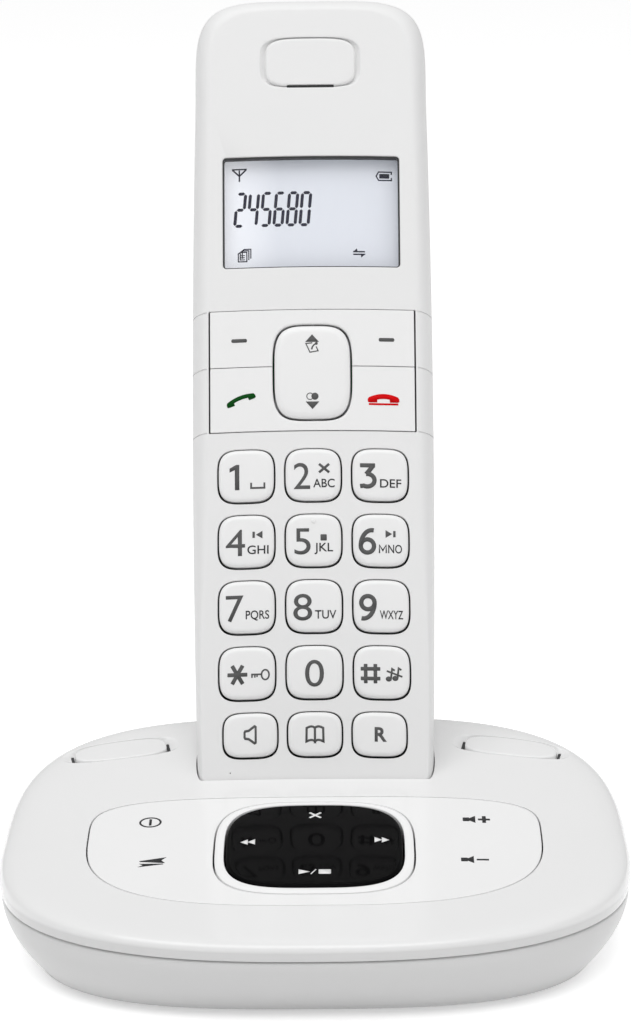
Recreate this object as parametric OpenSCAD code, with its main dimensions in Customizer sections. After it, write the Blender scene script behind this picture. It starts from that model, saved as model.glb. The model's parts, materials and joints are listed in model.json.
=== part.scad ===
// Cordless telephone with large keys, standing in its answering base.
// The table is z = 0, the front faces -Y and all sizes are millimetres.

/* [Base] */
// Width of the base at its seam
base_w = 126; // [122:1:136]
// Depth of the base at its seam
base_d = 102.4; // [100:0.2:110]
// Height of the base seam over the table
seam_z = 13.6; // [12:0.1:15]
// Wall of the base shells
base_wall = 2; // [1.6:0.1:2.2]
// Height of the base top over the seam at the middle
top_rise = 9.8; // [9.6:0.1:12]
// Rise of the base top for each millimetre towards the back
top_slope = 0.155; // [0.14:0.005:0.17]
// How far the underside is drawn in from the seam
under_inset = 6.5; // [5:0.5:7]
// Height of the rubber feet below the underside
foot_h = 1; // [0.8:0.1:1.4]
// Radius of a rubber foot
foot_r = 5; // [3.5:0.5:6]

/* [Handset] */
// Length of the handset
handset_l = 174.9; // [170:0.1:180]
// Width of the handset at its waist
handset_w = 50.7; // [50:0.1:54]
// Thickness of the handset over its lower part
handset_t = 25; // [24.5:0.5:27]
// Wall of the handset shells
handset_wall = 1.8; // [1.6:0.1:1.9]
// Depth of the handset seam behind the front face
split_d = 7.5; // [7:0.1:9]
// Lean of the docked handset back from upright in degrees
recline = 21; // [19:0.5:23]
// Length of the handset that stands in the cradle
dock_sink = 9; // [7:0.5:10]
// How far behind the middle of the base the front face meets the base top
dock_y = 19.2; // [18.8:0.1:21]
// Clearance round the handset foot in the cradle
dock_gap = 0.4; // [0.4:0.1:0.9]

/* [Keys] */
// Width of a dialling key
key_w = 11.45; // [10.5:0.05:12]
// Height of a dialling key
key_h = 10.8; // [10:0.1:11.6]
// Width of a key in the lowest row
low_key_w = 11; // [10:0.1:11.6]
// Height of a key in the lowest row
low_key_h = 9; // [8.5:0.1:10]
// Distance between the dialling key columns
column_pitch = 13.9; // [13.7:0.1:14.3]
// Distance between the dialling key rows
row_pitch = 13.7; // [13.4:0.1:13.8]
// Gap round a key
key_gap = 0.25; // [0.2:0.05:0.4]
// Height of the keys over the front face
key_proud = 0.8; // [0.4:0.1:1.2]

/* [Display and controls] */
// Width of the display window
lens_w = 37.2; // [34:0.2:38]
// Height of the display window
lens_h = 23.8; // [22:0.2:25]
// Width of the key bars
bar_w = 42.6; // [42:0.1:43.6]
// Width of the rocker
nav_w = 16; // [14:0.2:17]
// Height of the rocker
nav_h = 19.6; // [18:0.1:20.6]

/* [Base controls] */
// Width of the white key plate
plate_w = 90; // [86:0.2:92]
// Width of the black message pad
pad_w = 34.9; // [34:0.1:36.4]
// Depth of the black message pad
pad_d = 34.3; // [33:0.1:34.8]
// Gap round the key plate
plate_gap = 0.35; // [0.3:0.05:0.5]

/* [Battery] */
// Radius of a battery cell
cell_r = 5.2; // [5:0.05:5.25]
// Length of a battery cell
cell_l = 44.4; // [43.5:0.1:44.8]
// Width of the battery door
door_w = 36; // [32:0.5:38]

/* [Hidden] */

shell_white = [0.9, 0.9, 0.9];
lower_white = [0.8, 0.8, 0.8];
key_white = [0.95, 0.95, 0.95];
board_green = [0.1, 0.35, 0.2];
metal_grey = [0.7, 0.7, 0.72];
dark_grey = [0.15, 0.15, 0.16];
rubber_grey = [0.3, 0.3, 0.3];

// flat sides of a small round boss or hole
boss_sides = 12;
// how much wider a hole with flat sides is drawn so that a round pin fits
flat_fit = 1 / cos(180 / boss_sides);
// overlap of pieces that are joined into one solid
weld = 0.4;
// reach of a cutter past the wall that it cuts
past = 5;

// base outline powers, top curve and edge round-over
front_power = 2.5;
back_power = 2.9;
under_power = 3;
top_curve = 0.0006;
top_fall = 0.0003;
edge_p = 22;
edge_q = 3.3;
base_points = 60;
outer_steps = [0.16, 0.36, 0.55, 0.7, 0.81, 0.885, 0.935, 0.968, 0.987, 0.997, 1];
inner_steps = [1, 0.985, 0.95, 0.89, 0.78, 0.6, 0.38, 0.16];
under_steps = [0, 0.3, 0.6, 0.85, 1];
seam_reveal = 0.4;
under_edge = 1.4;
floor_z = foot_h + base_wall;

function spow(x, p) = sign(x) * pow(abs(x), p);
function squircle(w, h, n, count, at) = [for (i = [0:count - 1]) let (t = 360 * i / count)
    [at[0] + w / 2 * spow(cos(t), 2 / n), at[1] + h / 2 * spow(sin(t), 2 / n)]];
function at_z(points, z) = [for (p = points) [p[0], p[1], z]];
function turned(points, a, at) = [for (p = points)
    [at[0] + p[0] * cos(a) - p[1] * sin(a), at[1] + p[0] * sin(a) + p[1] * cos(a)]];
function mean2(points) = [for (c = [0, 1]) [for (p = points) p[c]] * [for (p = points) 1] / len(points)];
function shrunk(points, s) = let (m = mean2(points)) [for (p = points) m + (p - m) * s];

// height of the base top over the seam before the edge is rounded
function top_t(x, y) = top_rise + top_slope * y + top_curve * y * y - top_fall * x * x;
function outline_power(y) = y < 0 ? front_power : back_power;
function oval_r(x, y, grow) = let (n = outline_power(y))
    pow(pow(abs(x) / (base_w / 2 + grow), n) + pow(abs(y) / (base_d / 2 + grow), n), 1 / n);
function edge(r) = pow(max(0, 1 - pow(min(r, 1), edge_p)), 1 / edge_q);
function dome_z(x, y) = seam_z + edge(oval_r(x, y, 0)) * top_t(x, y);
function base_ring(r, grow) = [for (i = [0:base_points - 1])
    let (t = 360 * (i + 0.5) / base_points, n = outline_power(sin(t)))
    [(base_w / 2 + grow) * r * spow(cos(t), 2 / n), (base_d / 2 + grow) * r * spow(sin(t), 2 / n)]];
function dome_ring(r, grow, drop) = [for (p = base_ring(r, grow))
    [p[0], p[1], seam_z + edge(r) * (top_t(p[0], p[1]) - drop)]];
function under_ring(w, grow, z) = let (inset = under_inset * pow(w, 1.6) + seam_reveal)
    [for (i = [0:base_points - 1]) let (t = 360 * (i + 0.5) / base_points,
        n = outline_power(sin(t)) * (1 - w) + under_power * w)
    [(base_w / 2 - inset + grow) * spow(cos(t), 2 / n), (base_d / 2 - inset + grow) * spow(sin(t), 2 / n), z]];
function under_z(w) = seam_z - (seam_z - foot_h) * w;
function back_y(x) = base_d / 2 * pow(1 - pow(x / (base_w / 2), back_power), 1 / back_power);
function on_dome(points, lift) = [for (p = points) [p[0], p[1], dome_z(p[0], p[1]) + lift]];

// handset outline: bowed sides, superellipse head, small corners at the foot
side_bow = 5;
waist = 0.475;
head_h = 22;
head_power = 4.7;
foot_corner = 2.5;
edge_inset = 3.6;
rear_round = 9;
rear_power = 2.4;
head_taper = 4;
taper_from = 0.58;
front_steps = [90, 62, 38, 16, 0];
rear_steps = [0, 24, 44, 66, 90];
spine_insets = [6, 12];

function side_x(v) = handset_w / 2 - side_bow * pow(v / handset_l - waist, 2);
head_v = handset_l - head_h;
right_side = concat(
    [for (a = [-90:30:0]) [side_x(0) + foot_corner * (cos(a) - 1), foot_corner * (1 + sin(a))]],
    [for (k = [1:5]) let (v = foot_corner + (head_v - foot_corner) * k / 6) [side_x(v), v]],
    [for (t = [0:10:90])
        [side_x(head_v) * pow(cos(t), 2 / head_power), head_v + head_h * pow(sin(t), 2 / head_power)]]);
handset_outline = concat(right_side,
    [for (i = [len(right_side) - 2:-1:0]) [-right_side[i][0], right_side[i][1]]]);
function handset_ring(inset) = [for (p = handset_outline)
    [p[0] * (1 - 2 * inset / handset_w), handset_l / 2 + (p[1] - handset_l / 2) * (1 - 2 * inset / handset_l)]];
function thick(v) = handset_t - head_taper * pow(max(0, v / handset_l - taper_from) / (1 - taper_from), 2);
function front_ring(a, wall) = at_z(handset_ring(wall + edge_inset * (1 - cos(a))),
    -wall - (split_d - wall) * (1 - sin(a)));
function rear_k(a) = pow(sin(a), 2 / rear_power);
function rear_inset(a) = rear_round * (1 - pow(cos(a), 2 / rear_power));
function rear_ring(inset, k, wall) = [for (p = handset_ring(inset + wall))
    [p[0], p[1], -split_d - (thick(p[1]) - wall - split_d) * k]];
function front_outer(wall) = [for (a = front_steps) front_ring(a, wall)];
function rear_outer(wall) = concat([for (a = rear_steps) rear_ring(rear_inset(a), rear_k(a), wall)],
    [for (s = spine_insets) rear_ring(rear_round + s, 1, wall)]);
function reversed(list) = [for (i = [len(list) - 1:-1:0]) list[i]];

// where the docked handset stands, and the shift that centres the whole part
foot_y = dock_y - dock_sink * sin(recline);
foot_z = seam_z + top_t(0, dock_y) - dock_sink * cos(recline);
// the rearmost point lies part of the way down the round-over of the head
rear_fall = 0.9;
rear_v = handset_l - rear_round * 0.72;
rear_y = foot_y + rear_v * sin(recline) + (thick(rear_v) - rear_fall) * cos(recline);
origin_y = (rear_y - base_d / 2) / 2;

// handset stack, as depths behind the front face
flange_top = handset_wall + 0.45;
flange_bottom = flange_top + 0.8;
flange_w = 0.6;
key_travel = 0.8;
mat_top = flange_bottom + key_travel + 0.1;
mat_t = 0.85;
mat_over = 0.4;
mat_edge = 4.6;
board_top = mat_top + mat_t + 0.05;
board_t = 1.2;
board_edge = 4.4;
board_v0 = 4.5;
board_cut = [9, 12];
lens_top = handset_wall + 0.05;
lens_t = 1;
module_top = lens_top + lens_t + 0.1;
key_power = 3.6;
key_points = 24;
window_r = 1;
first_row_v = 71.9;
low_row_v = 18;
low_pitch = 13.3;
bars_v0 = 81.4;
bars_v1 = 106.9;
bars_mid = 95.1;
bar_proud = 0.2;
bar_bottom = 2.4;
nav_v = 93.6;
nav_proud = 1.1;
nav_bottom = 1.2;
nav_power = 3.9;
nav_gap = 0.35;
pivot_d = flange_bottom + 0.05;
pivot_r = 0.7;
lug_w = 3;
lug_t = 1.6;
lug_bottom = pivot_d + 0.65;
ear_top = handset_wall + 0.35;
ear_t = 1;
nav_lug_x = 4.5;
nav_ear_x = 6.5;
soft_lug_v = bars_v1 - 1.6;
call_lug_v = bars_v0 + 1.1;
ear_step = 2.25;
bracket_hw = 8;
bracket_over = 2;
bracket_gap = 0.6;
ear_pad_w = 18.6;
ear_pad_h = 10.4;
// least room below the display, above it and above the earpiece, and how the rest is shared
lens_clear = 4.8;
ear_clear = 2.8;
head_clear = 7.5;
lens_share = 7 / 30;
head_share = 1 / 9;
spare_l = handset_l - bars_v1 - lens_h - ear_pad_h - lens_clear - ear_clear - head_clear;
lens_v = bars_v1 + lens_clear + lens_share * spare_l + lens_h / 2;
ear_v = handset_l - head_clear - head_share * spare_l - ear_pad_h / 2;
ear_scoop = 1.7;
ear_recess = 1;
slit_w = 10;
slit_h = 0.7;
mic_x = -17.5;
mic_v = 10.5;
mic_hole_r = 0.4;
mic_r = 2;
receiver_r = 6;
upper_screw_v = lens_v + lens_h / 2 + 8.6;
handset_screw_at = [[-17, upper_screw_v], [17, upper_screw_v], [-8, 7.5], [8, 7.5]];
boss_r = 2.6;
screw_r = 1;
screw_hole_r = 1.15;
head_r = 2.1;
head_h_screw = 1.4;
seat_d = board_top + board_t + 3;
hands_v = 130;
hands_r = 9;
hands_t = 4;
slot_w = 1.2;
slot_pitch = 2.6;
contact_x = 9;
contact_w = 5;
contact_d0 = split_d + 2.2;
contact_d1 = contact_d0 + 5;

// battery compartment
door_v0 = 33;
door_gap = 0.25;
cell_x = cell_r + 0.25;
cell_d = handset_t - handset_wall - 0.3 - cell_r;
tub_x = 2 * cell_r + 1;
cell_room = 5.6;
tub_v0 = door_v0 + 4.5;
tub_v1 = tub_v0 + cell_l + cell_room;
door_v1 = tub_v1 + 4;
tub_top = cell_d - cell_r - 0.4;
tub_wall = 1.3;
rim_t = 1.4;
rim_over = 2.4;
cell_v0 = (tub_v0 + tub_v1 - cell_l) / 2;
leaf_t = 0.5;
leaf_w = 8;

// pocket of the cradle
pocket_hw = side_x(dock_sink * 3) + dock_gap;
cradle_wall = 1.8;
cradle_floor = 2;
cradle_up = 34;
floor_gap = 0.25;
spring_w = 4;

// base controls
plate_y = -5;
plate_back = 16.3;
plate_front = 30.1;
plate_back_n = 4.5;
plate_front_n = 2.75;
plate_t = 2;
plate_points = 48;
plate_steps = [0.25, 0.5, 0.75, 0.92, 1];
pad_y = -9.65;
ring_y = -10.2;
ring_band = 2.55;
ring_back = 19.6;
pad_n = 3.4;
pad_t = 2.4;
pad_gap = 0.6;
pad_points = 36;
bezel_lift = 0.2;
board_z = floor_z + 1.4;
base_board_t = 1.5;
frame_z = board_z + base_board_t;
frame_t = 1.2;
frame_top = frame_z + frame_t;
dome_h = 0.5;
dome_r = 2.4;
plunger_gap = 1.2;
plunger_z = frame_top + dome_h + plunger_gap;
plate_marks = [[-33, 1.6], [33, 1.6], [-31.7, -15.2], [31.7, -15.2]];
pad_marks = [[0, 3.7], [-13, -7], [13, -7], [0, -20.5]];
plunger_r = 1.7;
pin_r = 1.2;
pin_fit = 0.08;
plate_axis_z = frame_top + 4.5;
plate_axis_y = -15.8;
gimbal_x = pad_w / 2 + ring_band + 1.6;
gimbal_bar = 2.6;
gimbal_y0 = ring_y - ring_back - 1.6;
gimbal_y1 = ring_y + ring_back + 1.6;
gimbal_t = 2.4;
post_gap = 0.4;
post_t = 2.2;
post_w = 5;
post_cap = 1.9;
pad_axis_z = seam_z + top_t(0, pad_y) - pad_t - 3.4;
cross_reach = 6.5;
frame_x = 36.5;
frame_y0 = -19.5;
frame_y1 = 6;
frame_neck = 12;
board_x = 38;
board_y0 = -38;
board_y1 = 6;

// sound tabs
tab_at = [40.85, 33.2];
tab_turn = 10;
tab_w = 19.2;
tab_h = 7.4;
tab_scoop = 1.6;
tab_depth = 1.3;
tab_points = 28;
tab_n = 3.2;
tab_slot = 1.3;

// base inner pieces
front_boss = [plate_w / 2 + 4.2, -14];
rear_boss = [pocket_hw + cradle_wall + 3.5, base_d / 2 - 15.2];
base_boss_r = 3;
boss_meet = 2;
boss_gap = 0.1;
board_post_r = 2.5;
board_posts = [[28, -25], [28, -2]];
base_seat_z = floor_z + 1.4;
base_head_r = 2.4;
base_head_h = 1.6;
base_screw_l = 11.6;
speaker_at = [23 - base_w / 2, 15.5];
speaker_r = 9;
speaker_h = 6;
socket_x = rear_boss[0] + 16.2;
socket_turn = 34;
socket_in = 5.4;
socket_w = 12;
socket_depth = 10.5;
line_w = 9.8;
line_h = 6.6;
line_depth = 8.4;
socket_z = floor_z + 0.2;
socket_h = seam_z - socket_z - 0.2;
line_sill = 1;
jack_r = 3;
jack_pin_r = 0.9;
front_foot = [base_w / 2 - 25, 26.2 - base_d / 2];
rear_foot = [base_w / 2 - 29, base_d / 2 - 24.2];
foot_at = [for (p = [front_foot, rear_foot], side = [-1, 1]) [side * p[0], p[1]]];

// surface through rings of points, closed at both ends by strips
module loft(rings) {
    m = len(rings);
    n = len(rings[0]);
    last = (m - 1) * n;
    sides = [for (k = [0:m - 2], i = [0:n - 1]) let (a = k * n + i, b = k * n + (i + 1) % n)
        each [[a, b, b + n], [a, b + n, a + n]]];
    first_cap = [for (i = [0:ceil(n / 2) - 2]) let (j = n - 1 - i)
        each concat([[j, i + 1, i]], i + 1 < j - 1 ? [[j, j - 1, i + 1]] : [])];
    last_cap = [for (i = [0:ceil(n / 2) - 2]) let (j = n - 1 - i)
        each concat([[last + i, last + i + 1, last + j]],
            i + 1 < j - 1 ? [[last + i + 1, last + j - 1, last + j]] : [])];
    polyhedron(points = [for (r = rings) each r], faces = concat(sides, first_cap, last_cap));
}

module prism(points, z0, z1) {
    translate([0, 0, z0])
        linear_extrude(z1 - z0)
            polygon(points);
}

module block(x0, x1, y0, y1, z0, z1) {
    translate([x0, y0, z0])
        cube([x1 - x0, y1 - y0, z1 - z0]);
}

module peg(r, at, z0, z1) {
    translate([at[0], at[1], z0])
        cylinder(r = r * flat_fit, h = z1 - z0, $fn = boss_sides);
}

module round_peg(r, at, z0, z1) {
    translate([at[0], at[1], z0])
        cylinder(r = r, h = z1 - z0, $fn = 48);
}

module along_x(r, x0, x1, y, z, sides) {
    translate([x0, y, z])
        rotate([0, 90, 0])
            cylinder(r = r, h = x1 - x0, $fn = sides);
}

module along_y(r, y0, y1, x, z, sides) {
    translate([x, y1, z])
        rotate([90, 0, 0])
            cylinder(r = r, h = y1 - y0, $fn = sides);
}

module in_base() {
    translate([0, -origin_y, 0])
        children();
}

module in_handset() {
    translate([0, foot_y - origin_y, foot_z])
        rotate([90 - recline, 0, 0])
            children();
}

// plate that follows the base top between two heights under it
module dome_plate(points, lift, bottom) {
    loft(concat([for (s = plate_steps) on_dome(shrunk(points, s), lift)],
        [for (s = reversed(plate_steps)) on_dome(shrunk(points, s), bottom)]));
}

function rounded(w, h, r, at) = [for (q = [0:3], a = [0:30:90]) let (sx = q == 0 || q == 3 ? 1 : -1,
    sy = q < 2 ? 1 : -1) [at[0] + sx * (w / 2 - r) + r * cos(a + 90 * q),
    at[1] + sy * (h / 2 - r) + r * sin(a + 90 * q)]];
function plate_outline(grow) = [for (i = [0:plate_points - 1]) let (t = 360 * (i + 0.5) / plate_points,
    back = sin(t) > 0, n = back ? plate_back_n : plate_front_n, b = (back ? plate_back : plate_front) + grow)
    [(plate_w / 2 + grow) * spow(cos(t), 2 / n), plate_y + b * spow(sin(t), 2 / n)]];
function ring_outline(grow) = squircle(pad_w + 2 * (ring_band + grow), 2 * (ring_back + grow), pad_n,
    pad_points, [0, ring_y]);
function pad_outline(grow) = squircle(pad_w + 2 * grow, pad_d + 2 * grow, pad_n, pad_points, [0, pad_y]);
function tab_outline(side, grow, longer) = turned(squircle(tab_w + 2 * (grow + longer), tab_h + 2 * grow,
    tab_n, tab_points, [0, 0]), -side * tab_turn, [side * tab_at[0], tab_at[1]]);
function row_v(r) = r < 4 ? first_row_v - r * row_pitch : low_row_v;
function column_x(c, r) = c * (r < 4 ? column_pitch : low_pitch);
function row_h(r) = r < 4 ? key_h : low_key_h;
function row_w(r) = r < 4 ? key_w : low_key_w;
function key_outline(c, r, grow) = squircle(row_w(r) + 2 * grow, row_h(r) + 2 * grow, key_power, key_points,
    [column_x(c, r), row_v(r)]);

module handset_front_shell() {
    color(shell_white)
        in_handset()
            difference() {
                union() {
                    loft(concat(front_outer(0), reversed(front_outer(handset_wall))));
                    for (s = handset_screw_at)
                        peg(boss_r, s, -board_top, -handset_wall + weld);
                }
                for (r = [0:4], c = [-1:1])
                    prism(key_outline(c, r, key_gap), -past, past);
                prism(rounded(bar_w + 2 * key_gap, bars_v1 - bars_v0 + 2 * key_gap, window_r / 2,
                    [0, (bars_v0 + bars_v1) / 2]), -past, past);
                prism(rounded(lens_w, lens_h, window_r, [0, lens_v]), -past, past);
                prism(squircle(ear_pad_w + 2 * ear_scoop, ear_pad_h + 2 * key_gap, key_power, key_points,
                    [0, ear_v]), -ear_recess, past);
                block(-slit_w / 2, slit_w / 2, ear_v - ear_pad_h / 2 - key_gap,
                    ear_v - ear_pad_h / 2 - key_gap + slit_h, -past, past);
                peg(mic_hole_r, [mic_x, mic_v], -past, past);
                for (s = handset_screw_at)
                    peg(screw_hole_r, s, -past - board_top, -handset_wall - weld);
            }
}

module handset_rear_shell() {
    color(shell_white)
        in_handset()
            difference() {
                union() {
                    loft(concat(reversed(rear_outer(handset_wall)), rear_outer(0)));
                    for (s = handset_screw_at)
                        peg(boss_r + 0.5, s, -thick(s[1]) + handset_wall - weld, -board_top - board_t);
                }
                block(-door_w / 2 - door_gap, door_w / 2 + door_gap, door_v0 - door_gap, door_v1 + door_gap,
                    -handset_t - past, -split_d - past);
                for (s = handset_screw_at) {
                    peg(screw_hole_r, s, -handset_t - past, 0);
                    peg(head_r + 0.15, s, -handset_t - past, -seat_d);
                }
                for (side = [-1, 1])
                    block(side * contact_x - contact_w / 2, side * contact_x + contact_w / 2, -past,
                        handset_wall + 1, -contact_d1, -contact_d0);
                for (k = [-2:2])
                    block(-slot_w * 4 + abs(k) * slot_w / 2, slot_w * 4 - abs(k) * slot_w / 2,
                        hands_v + k * slot_pitch - slot_w / 2, hands_v + k * slot_pitch + slot_w / 2,
                        -handset_t - past, -handset_t + past);
            }
}

module display_lens() {
    color([0.75, 0.8, 0.85])
        in_handset()
            block(-lens_w / 2 - 1, lens_w / 2 + 1, lens_v - lens_h / 2 - 1, lens_v + lens_h / 2 + 1,
                -lens_top - lens_t, -lens_top);
}

module display_module() {
    color([0.8, 0.86, 0.92])
        in_handset()
            block(-lens_w / 2 - 1.2, lens_w / 2 + 1.2, lens_v - lens_h / 2 - 2.4, lens_v + lens_h / 2 + 2,
                -board_top + 0.05, -module_top);
}

module handset_board() {
    half = handset_w / 2 - board_edge;
    top = ear_v + receiver_r;
    color(board_green)
        in_handset()
            difference() {
                prism([[-half, board_v0], [half, board_v0], [half, top - board_cut[1]],
                    [half - board_cut[0], top], [board_cut[0] - half, top], [-half, top - board_cut[1]]],
                    -board_top - board_t, -board_top);
                for (s = handset_screw_at)
                    peg(screw_hole_r + 0.3, s, -board_top - past, 0);
            }
}

module key_mat() {
    half = handset_w / 2 - mat_edge;
    color([0.6, 0.6, 0.6])
        in_handset()
            difference() {
                block(-half, half, low_row_v - low_key_h / 2 - mat_over, bars_v1 + bracket_over,
                    -mat_top - mat_t, -mat_top);
                block(-bracket_hw - bracket_gap, bracket_hw + bracket_gap,
                    bars_v0 - bracket_over - bracket_gap, bars_v1 + past, -mat_top - past, past);
            }
}

module key_bracket() {
    color(metal_grey)
        in_handset()
            difference() {
                union() {
                    block(-bracket_hw, bracket_hw, bars_v0 - bracket_over, bars_v1 + bracket_over,
                        -board_top + 0.05, -mat_top - 0.1);
                    for (side = [-1, 1])
                        block(side * nav_ear_x - ear_t / 2, side * nav_ear_x + ear_t / 2, nav_v - lug_w / 2,
                            nav_v + lug_w / 2, -mat_top - weld, -ear_top);
                    for (v = [soft_lug_v, call_lug_v], side = [-1, 1])
                        block(-lug_w / 2, lug_w / 2, v + side * ear_step - ear_t / 2,
                            v + side * ear_step + ear_t / 2, -mat_top - weld, -ear_top);
                }
                along_x((pivot_r + 0.02) * flat_fit, -past * 2, past * 2, nav_v, -pivot_d, boss_sides);
                along_y((pivot_r + 0.02) * flat_fit, soft_lug_v - past, soft_lug_v + past, 0, -pivot_d, boss_sides);
                along_y((pivot_r + 0.02) * flat_fit, call_lug_v - past, call_lug_v + past, 0, -pivot_d, boss_sides);
            }
}

module key_pivot_pins() {
    color(metal_grey)
        in_handset() {
            along_x(pivot_r, -nav_ear_x - ear_t / 2, nav_ear_x + ear_t / 2, nav_v, -pivot_d, 32);
            for (v = [soft_lug_v, call_lug_v])
                along_y(pivot_r, v - ear_step - ear_t / 2, v + ear_step + ear_t / 2, 0, -pivot_d, 32);
        }
}

module earpiece_pad() {
    color(key_white)
        in_handset()
            difference() {
                prism(squircle(ear_pad_w, ear_pad_h, key_power, key_points, [0, ear_v]), -ear_recess, 0.15);
                block(-slit_w / 2, slit_w / 2, ear_v - ear_pad_h, ear_v - ear_pad_h / 2 - key_gap + slit_h,
                    -past, past);
            }
}

module earpiece_receiver() {
    color(dark_grey)
        in_handset()
            round_peg(receiver_r, [0, ear_v], -board_top + 0.05, -handset_wall - 0.1);
}

module microphone() {
    color(dark_grey)
        in_handset()
            round_peg(mic_r, [mic_x, mic_v], -board_top + 0.05, -handset_wall - 0.1);
}

module handsfree_speaker() {
    back = thick(hands_v + hands_r) - handset_wall - 0.15;
    color(dark_grey)
        in_handset() {
            round_peg(hands_r, [0, hands_v], -back, -back + hands_t * 0.4);
            round_peg(hands_r * 0.6, [0, hands_v], -back + hands_t * 0.4, -back + hands_t);
        }
}

module battery_tray() {
    rim_x = door_w / 2 + rim_over;
    color(dark_grey)
        in_handset()
            difference() {
                intersection() {
                    union() {
                        block(-rim_x, rim_x, door_v0 - rim_over, door_v1 + rim_over, -handset_t,
                            -handset_t + handset_wall + rim_t);
                        block(-tub_x - tub_wall, tub_x + tub_wall, tub_v0 - tub_wall, tub_v1 + tub_wall,
                            -handset_t, -tub_top + tub_wall);
                    }
                    loft(concat([rear_ring(0, 0, handset_wall + 0.05)], rear_outer(handset_wall + 0.05)));
                }
                block(-tub_x, tub_x, tub_v0, tub_v1, -handset_t - past, -tub_top);
            }
}

module battery_cells() {
    color([0.2, 0.4, 0.3])
        in_handset()
            for (side = [-1, 1]) {
                along_y(cell_r, cell_v0, cell_v0 + cell_l, side * cell_x, -cell_d, 48);
                along_y(cell_r * 0.36, cell_v0 + cell_l, cell_v0 + cell_l + 0.8, side * cell_x, -cell_d, 32);
            }
}

module battery_contacts() {
    color(metal_grey)
        in_handset()
            for (side = [-1, 1]) {
                x = side * cell_x;
                block(x - leaf_w / 2, x + leaf_w / 2, tub_v0 + 0.05, tub_v0 + 0.05 + leaf_t, -cell_d - leaf_w / 2,
                    -cell_d + leaf_w / 2);
                block(x - leaf_w / 5, x + leaf_w / 5, tub_v0 + 0.05, cell_v0 - 0.05, -cell_d - leaf_w / 5,
                    -cell_d + leaf_w / 5);
                block(x - leaf_w / 2, x + leaf_w / 2, tub_v1 - 0.05 - leaf_t, tub_v1 - 0.05, -cell_d - leaf_w / 2,
                    -cell_d + leaf_w / 2);
            }
}

module battery_door() {
    color(shell_white)
        in_handset()
            intersection() {
                loft(concat(reversed(rear_outer(handset_wall)), rear_outer(0)));
                block(-door_w / 2, door_w / 2, door_v0, door_v1, -handset_t - past, -split_d - past);
            }
}

module handset_contacts() {
    color(metal_grey)
        in_handset()
            for (side = [-1, 1])
                block(side * contact_x - contact_w / 2 + 0.05, side * contact_x + contact_w / 2 - 0.05, 0.5,
                    handset_wall + 0.9, -contact_d1 + 0.05, -contact_d0 - 0.05);
}

module handset_screws() {
    color(metal_grey)
        in_handset()
            for (s = handset_screw_at) {
                round_peg(screw_r, s, -seat_d, -handset_wall - weld - 0.3);
                round_peg(head_r, s, -seat_d - head_h_screw, -seat_d);
            }
}

// dialling key: crowned cap over a stem with a flange behind the front wall
module big_key(c, r) {
    color(key_white)
        in_handset()
            loft([at_z(shrunk(key_outline(c, r, 0), 0.5), key_proud),
                at_z(key_outline(c, r, -0.9), key_proud - 0.1),
                at_z(key_outline(c, r, -0.15), key_proud - 0.6),
                at_z(key_outline(c, r, 0), key_proud - 1),
                at_z(key_outline(c, r, 0), -flange_top),
                at_z(key_outline(c, r, flange_w), -flange_top),
                at_z(key_outline(c, r, flange_w), -flange_bottom)]);
}

module key_1() { big_key(-1, 0); }
module key_2() { big_key(0, 0); }
module key_3() { big_key(1, 0); }
module key_4() { big_key(-1, 1); }
module key_5() { big_key(0, 1); }
module key_6() { big_key(1, 1); }
module key_7() { big_key(-1, 2); }
module key_8() { big_key(0, 2); }
module key_9() { big_key(1, 2); }
module key_star() { big_key(-1, 3); }
module key_0() { big_key(0, 3); }
module key_hash() { big_key(1, 3); }
module key_speaker() { big_key(-1, 4); }
module key_book() { big_key(0, 4); }
module key_r() { big_key(1, 4); }

// key bar that rocks left and right on a pin under its middle
module key_bar(v0, v1, lug_v) {
    color(key_white)
        in_handset()
            difference() {
                union() {
                    difference() {
                        block(-bar_w / 2, bar_w / 2, v0, v1, -bar_bottom, bar_proud);
                        prism(squircle(nav_w + 2 * nav_gap, nav_h + 2 * nav_gap, nav_power, 40, [0, nav_v]),
                            -past, past);
                    }
                    block(-lug_w / 2, lug_w / 2, lug_v - lug_t / 2, lug_v + lug_t / 2, -lug_bottom,
                        -bar_bottom + weld);
                }
                along_y((pivot_r + 0.05) * flat_fit, lug_v - past, lug_v + past, 0, -pivot_d, boss_sides);
            }
}

module soft_key_bar() {
    key_bar(bars_mid + 0.15, bars_v1, soft_lug_v);
}

module call_key_bar() {
    key_bar(bars_v0, bars_mid - 0.15, call_lug_v);
}

module nav_rocker() {
    at = [0, nav_v];
    color(key_white)
        in_handset()
            difference() {
                union() {
                    loft([at_z(squircle(nav_w * 0.5, nav_h * 0.5, nav_power, 40, at), nav_proud),
                        at_z(squircle(nav_w - 2.4, nav_h - 2.4, nav_power, 40, at), nav_proud - 0.1),
                        at_z(squircle(nav_w - 0.5, nav_h - 0.5, nav_power, 40, at), nav_proud - 0.6),
                        at_z(squircle(nav_w, nav_h, nav_power, 40, at), nav_proud - 1.1),
                        at_z(squircle(nav_w, nav_h, nav_power, 40, at), -nav_bottom)]);
                    for (side = [-1, 1])
                        block(side * nav_lug_x - lug_t / 2, side * nav_lug_x + lug_t / 2, nav_v - lug_w / 2,
                            nav_v + lug_w / 2, -lug_bottom, -nav_bottom + weld);
                }
                along_x((pivot_r + 0.05) * flat_fit, -past * 2, past * 2, nav_v, -pivot_d, boss_sides);
            }
}

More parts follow.
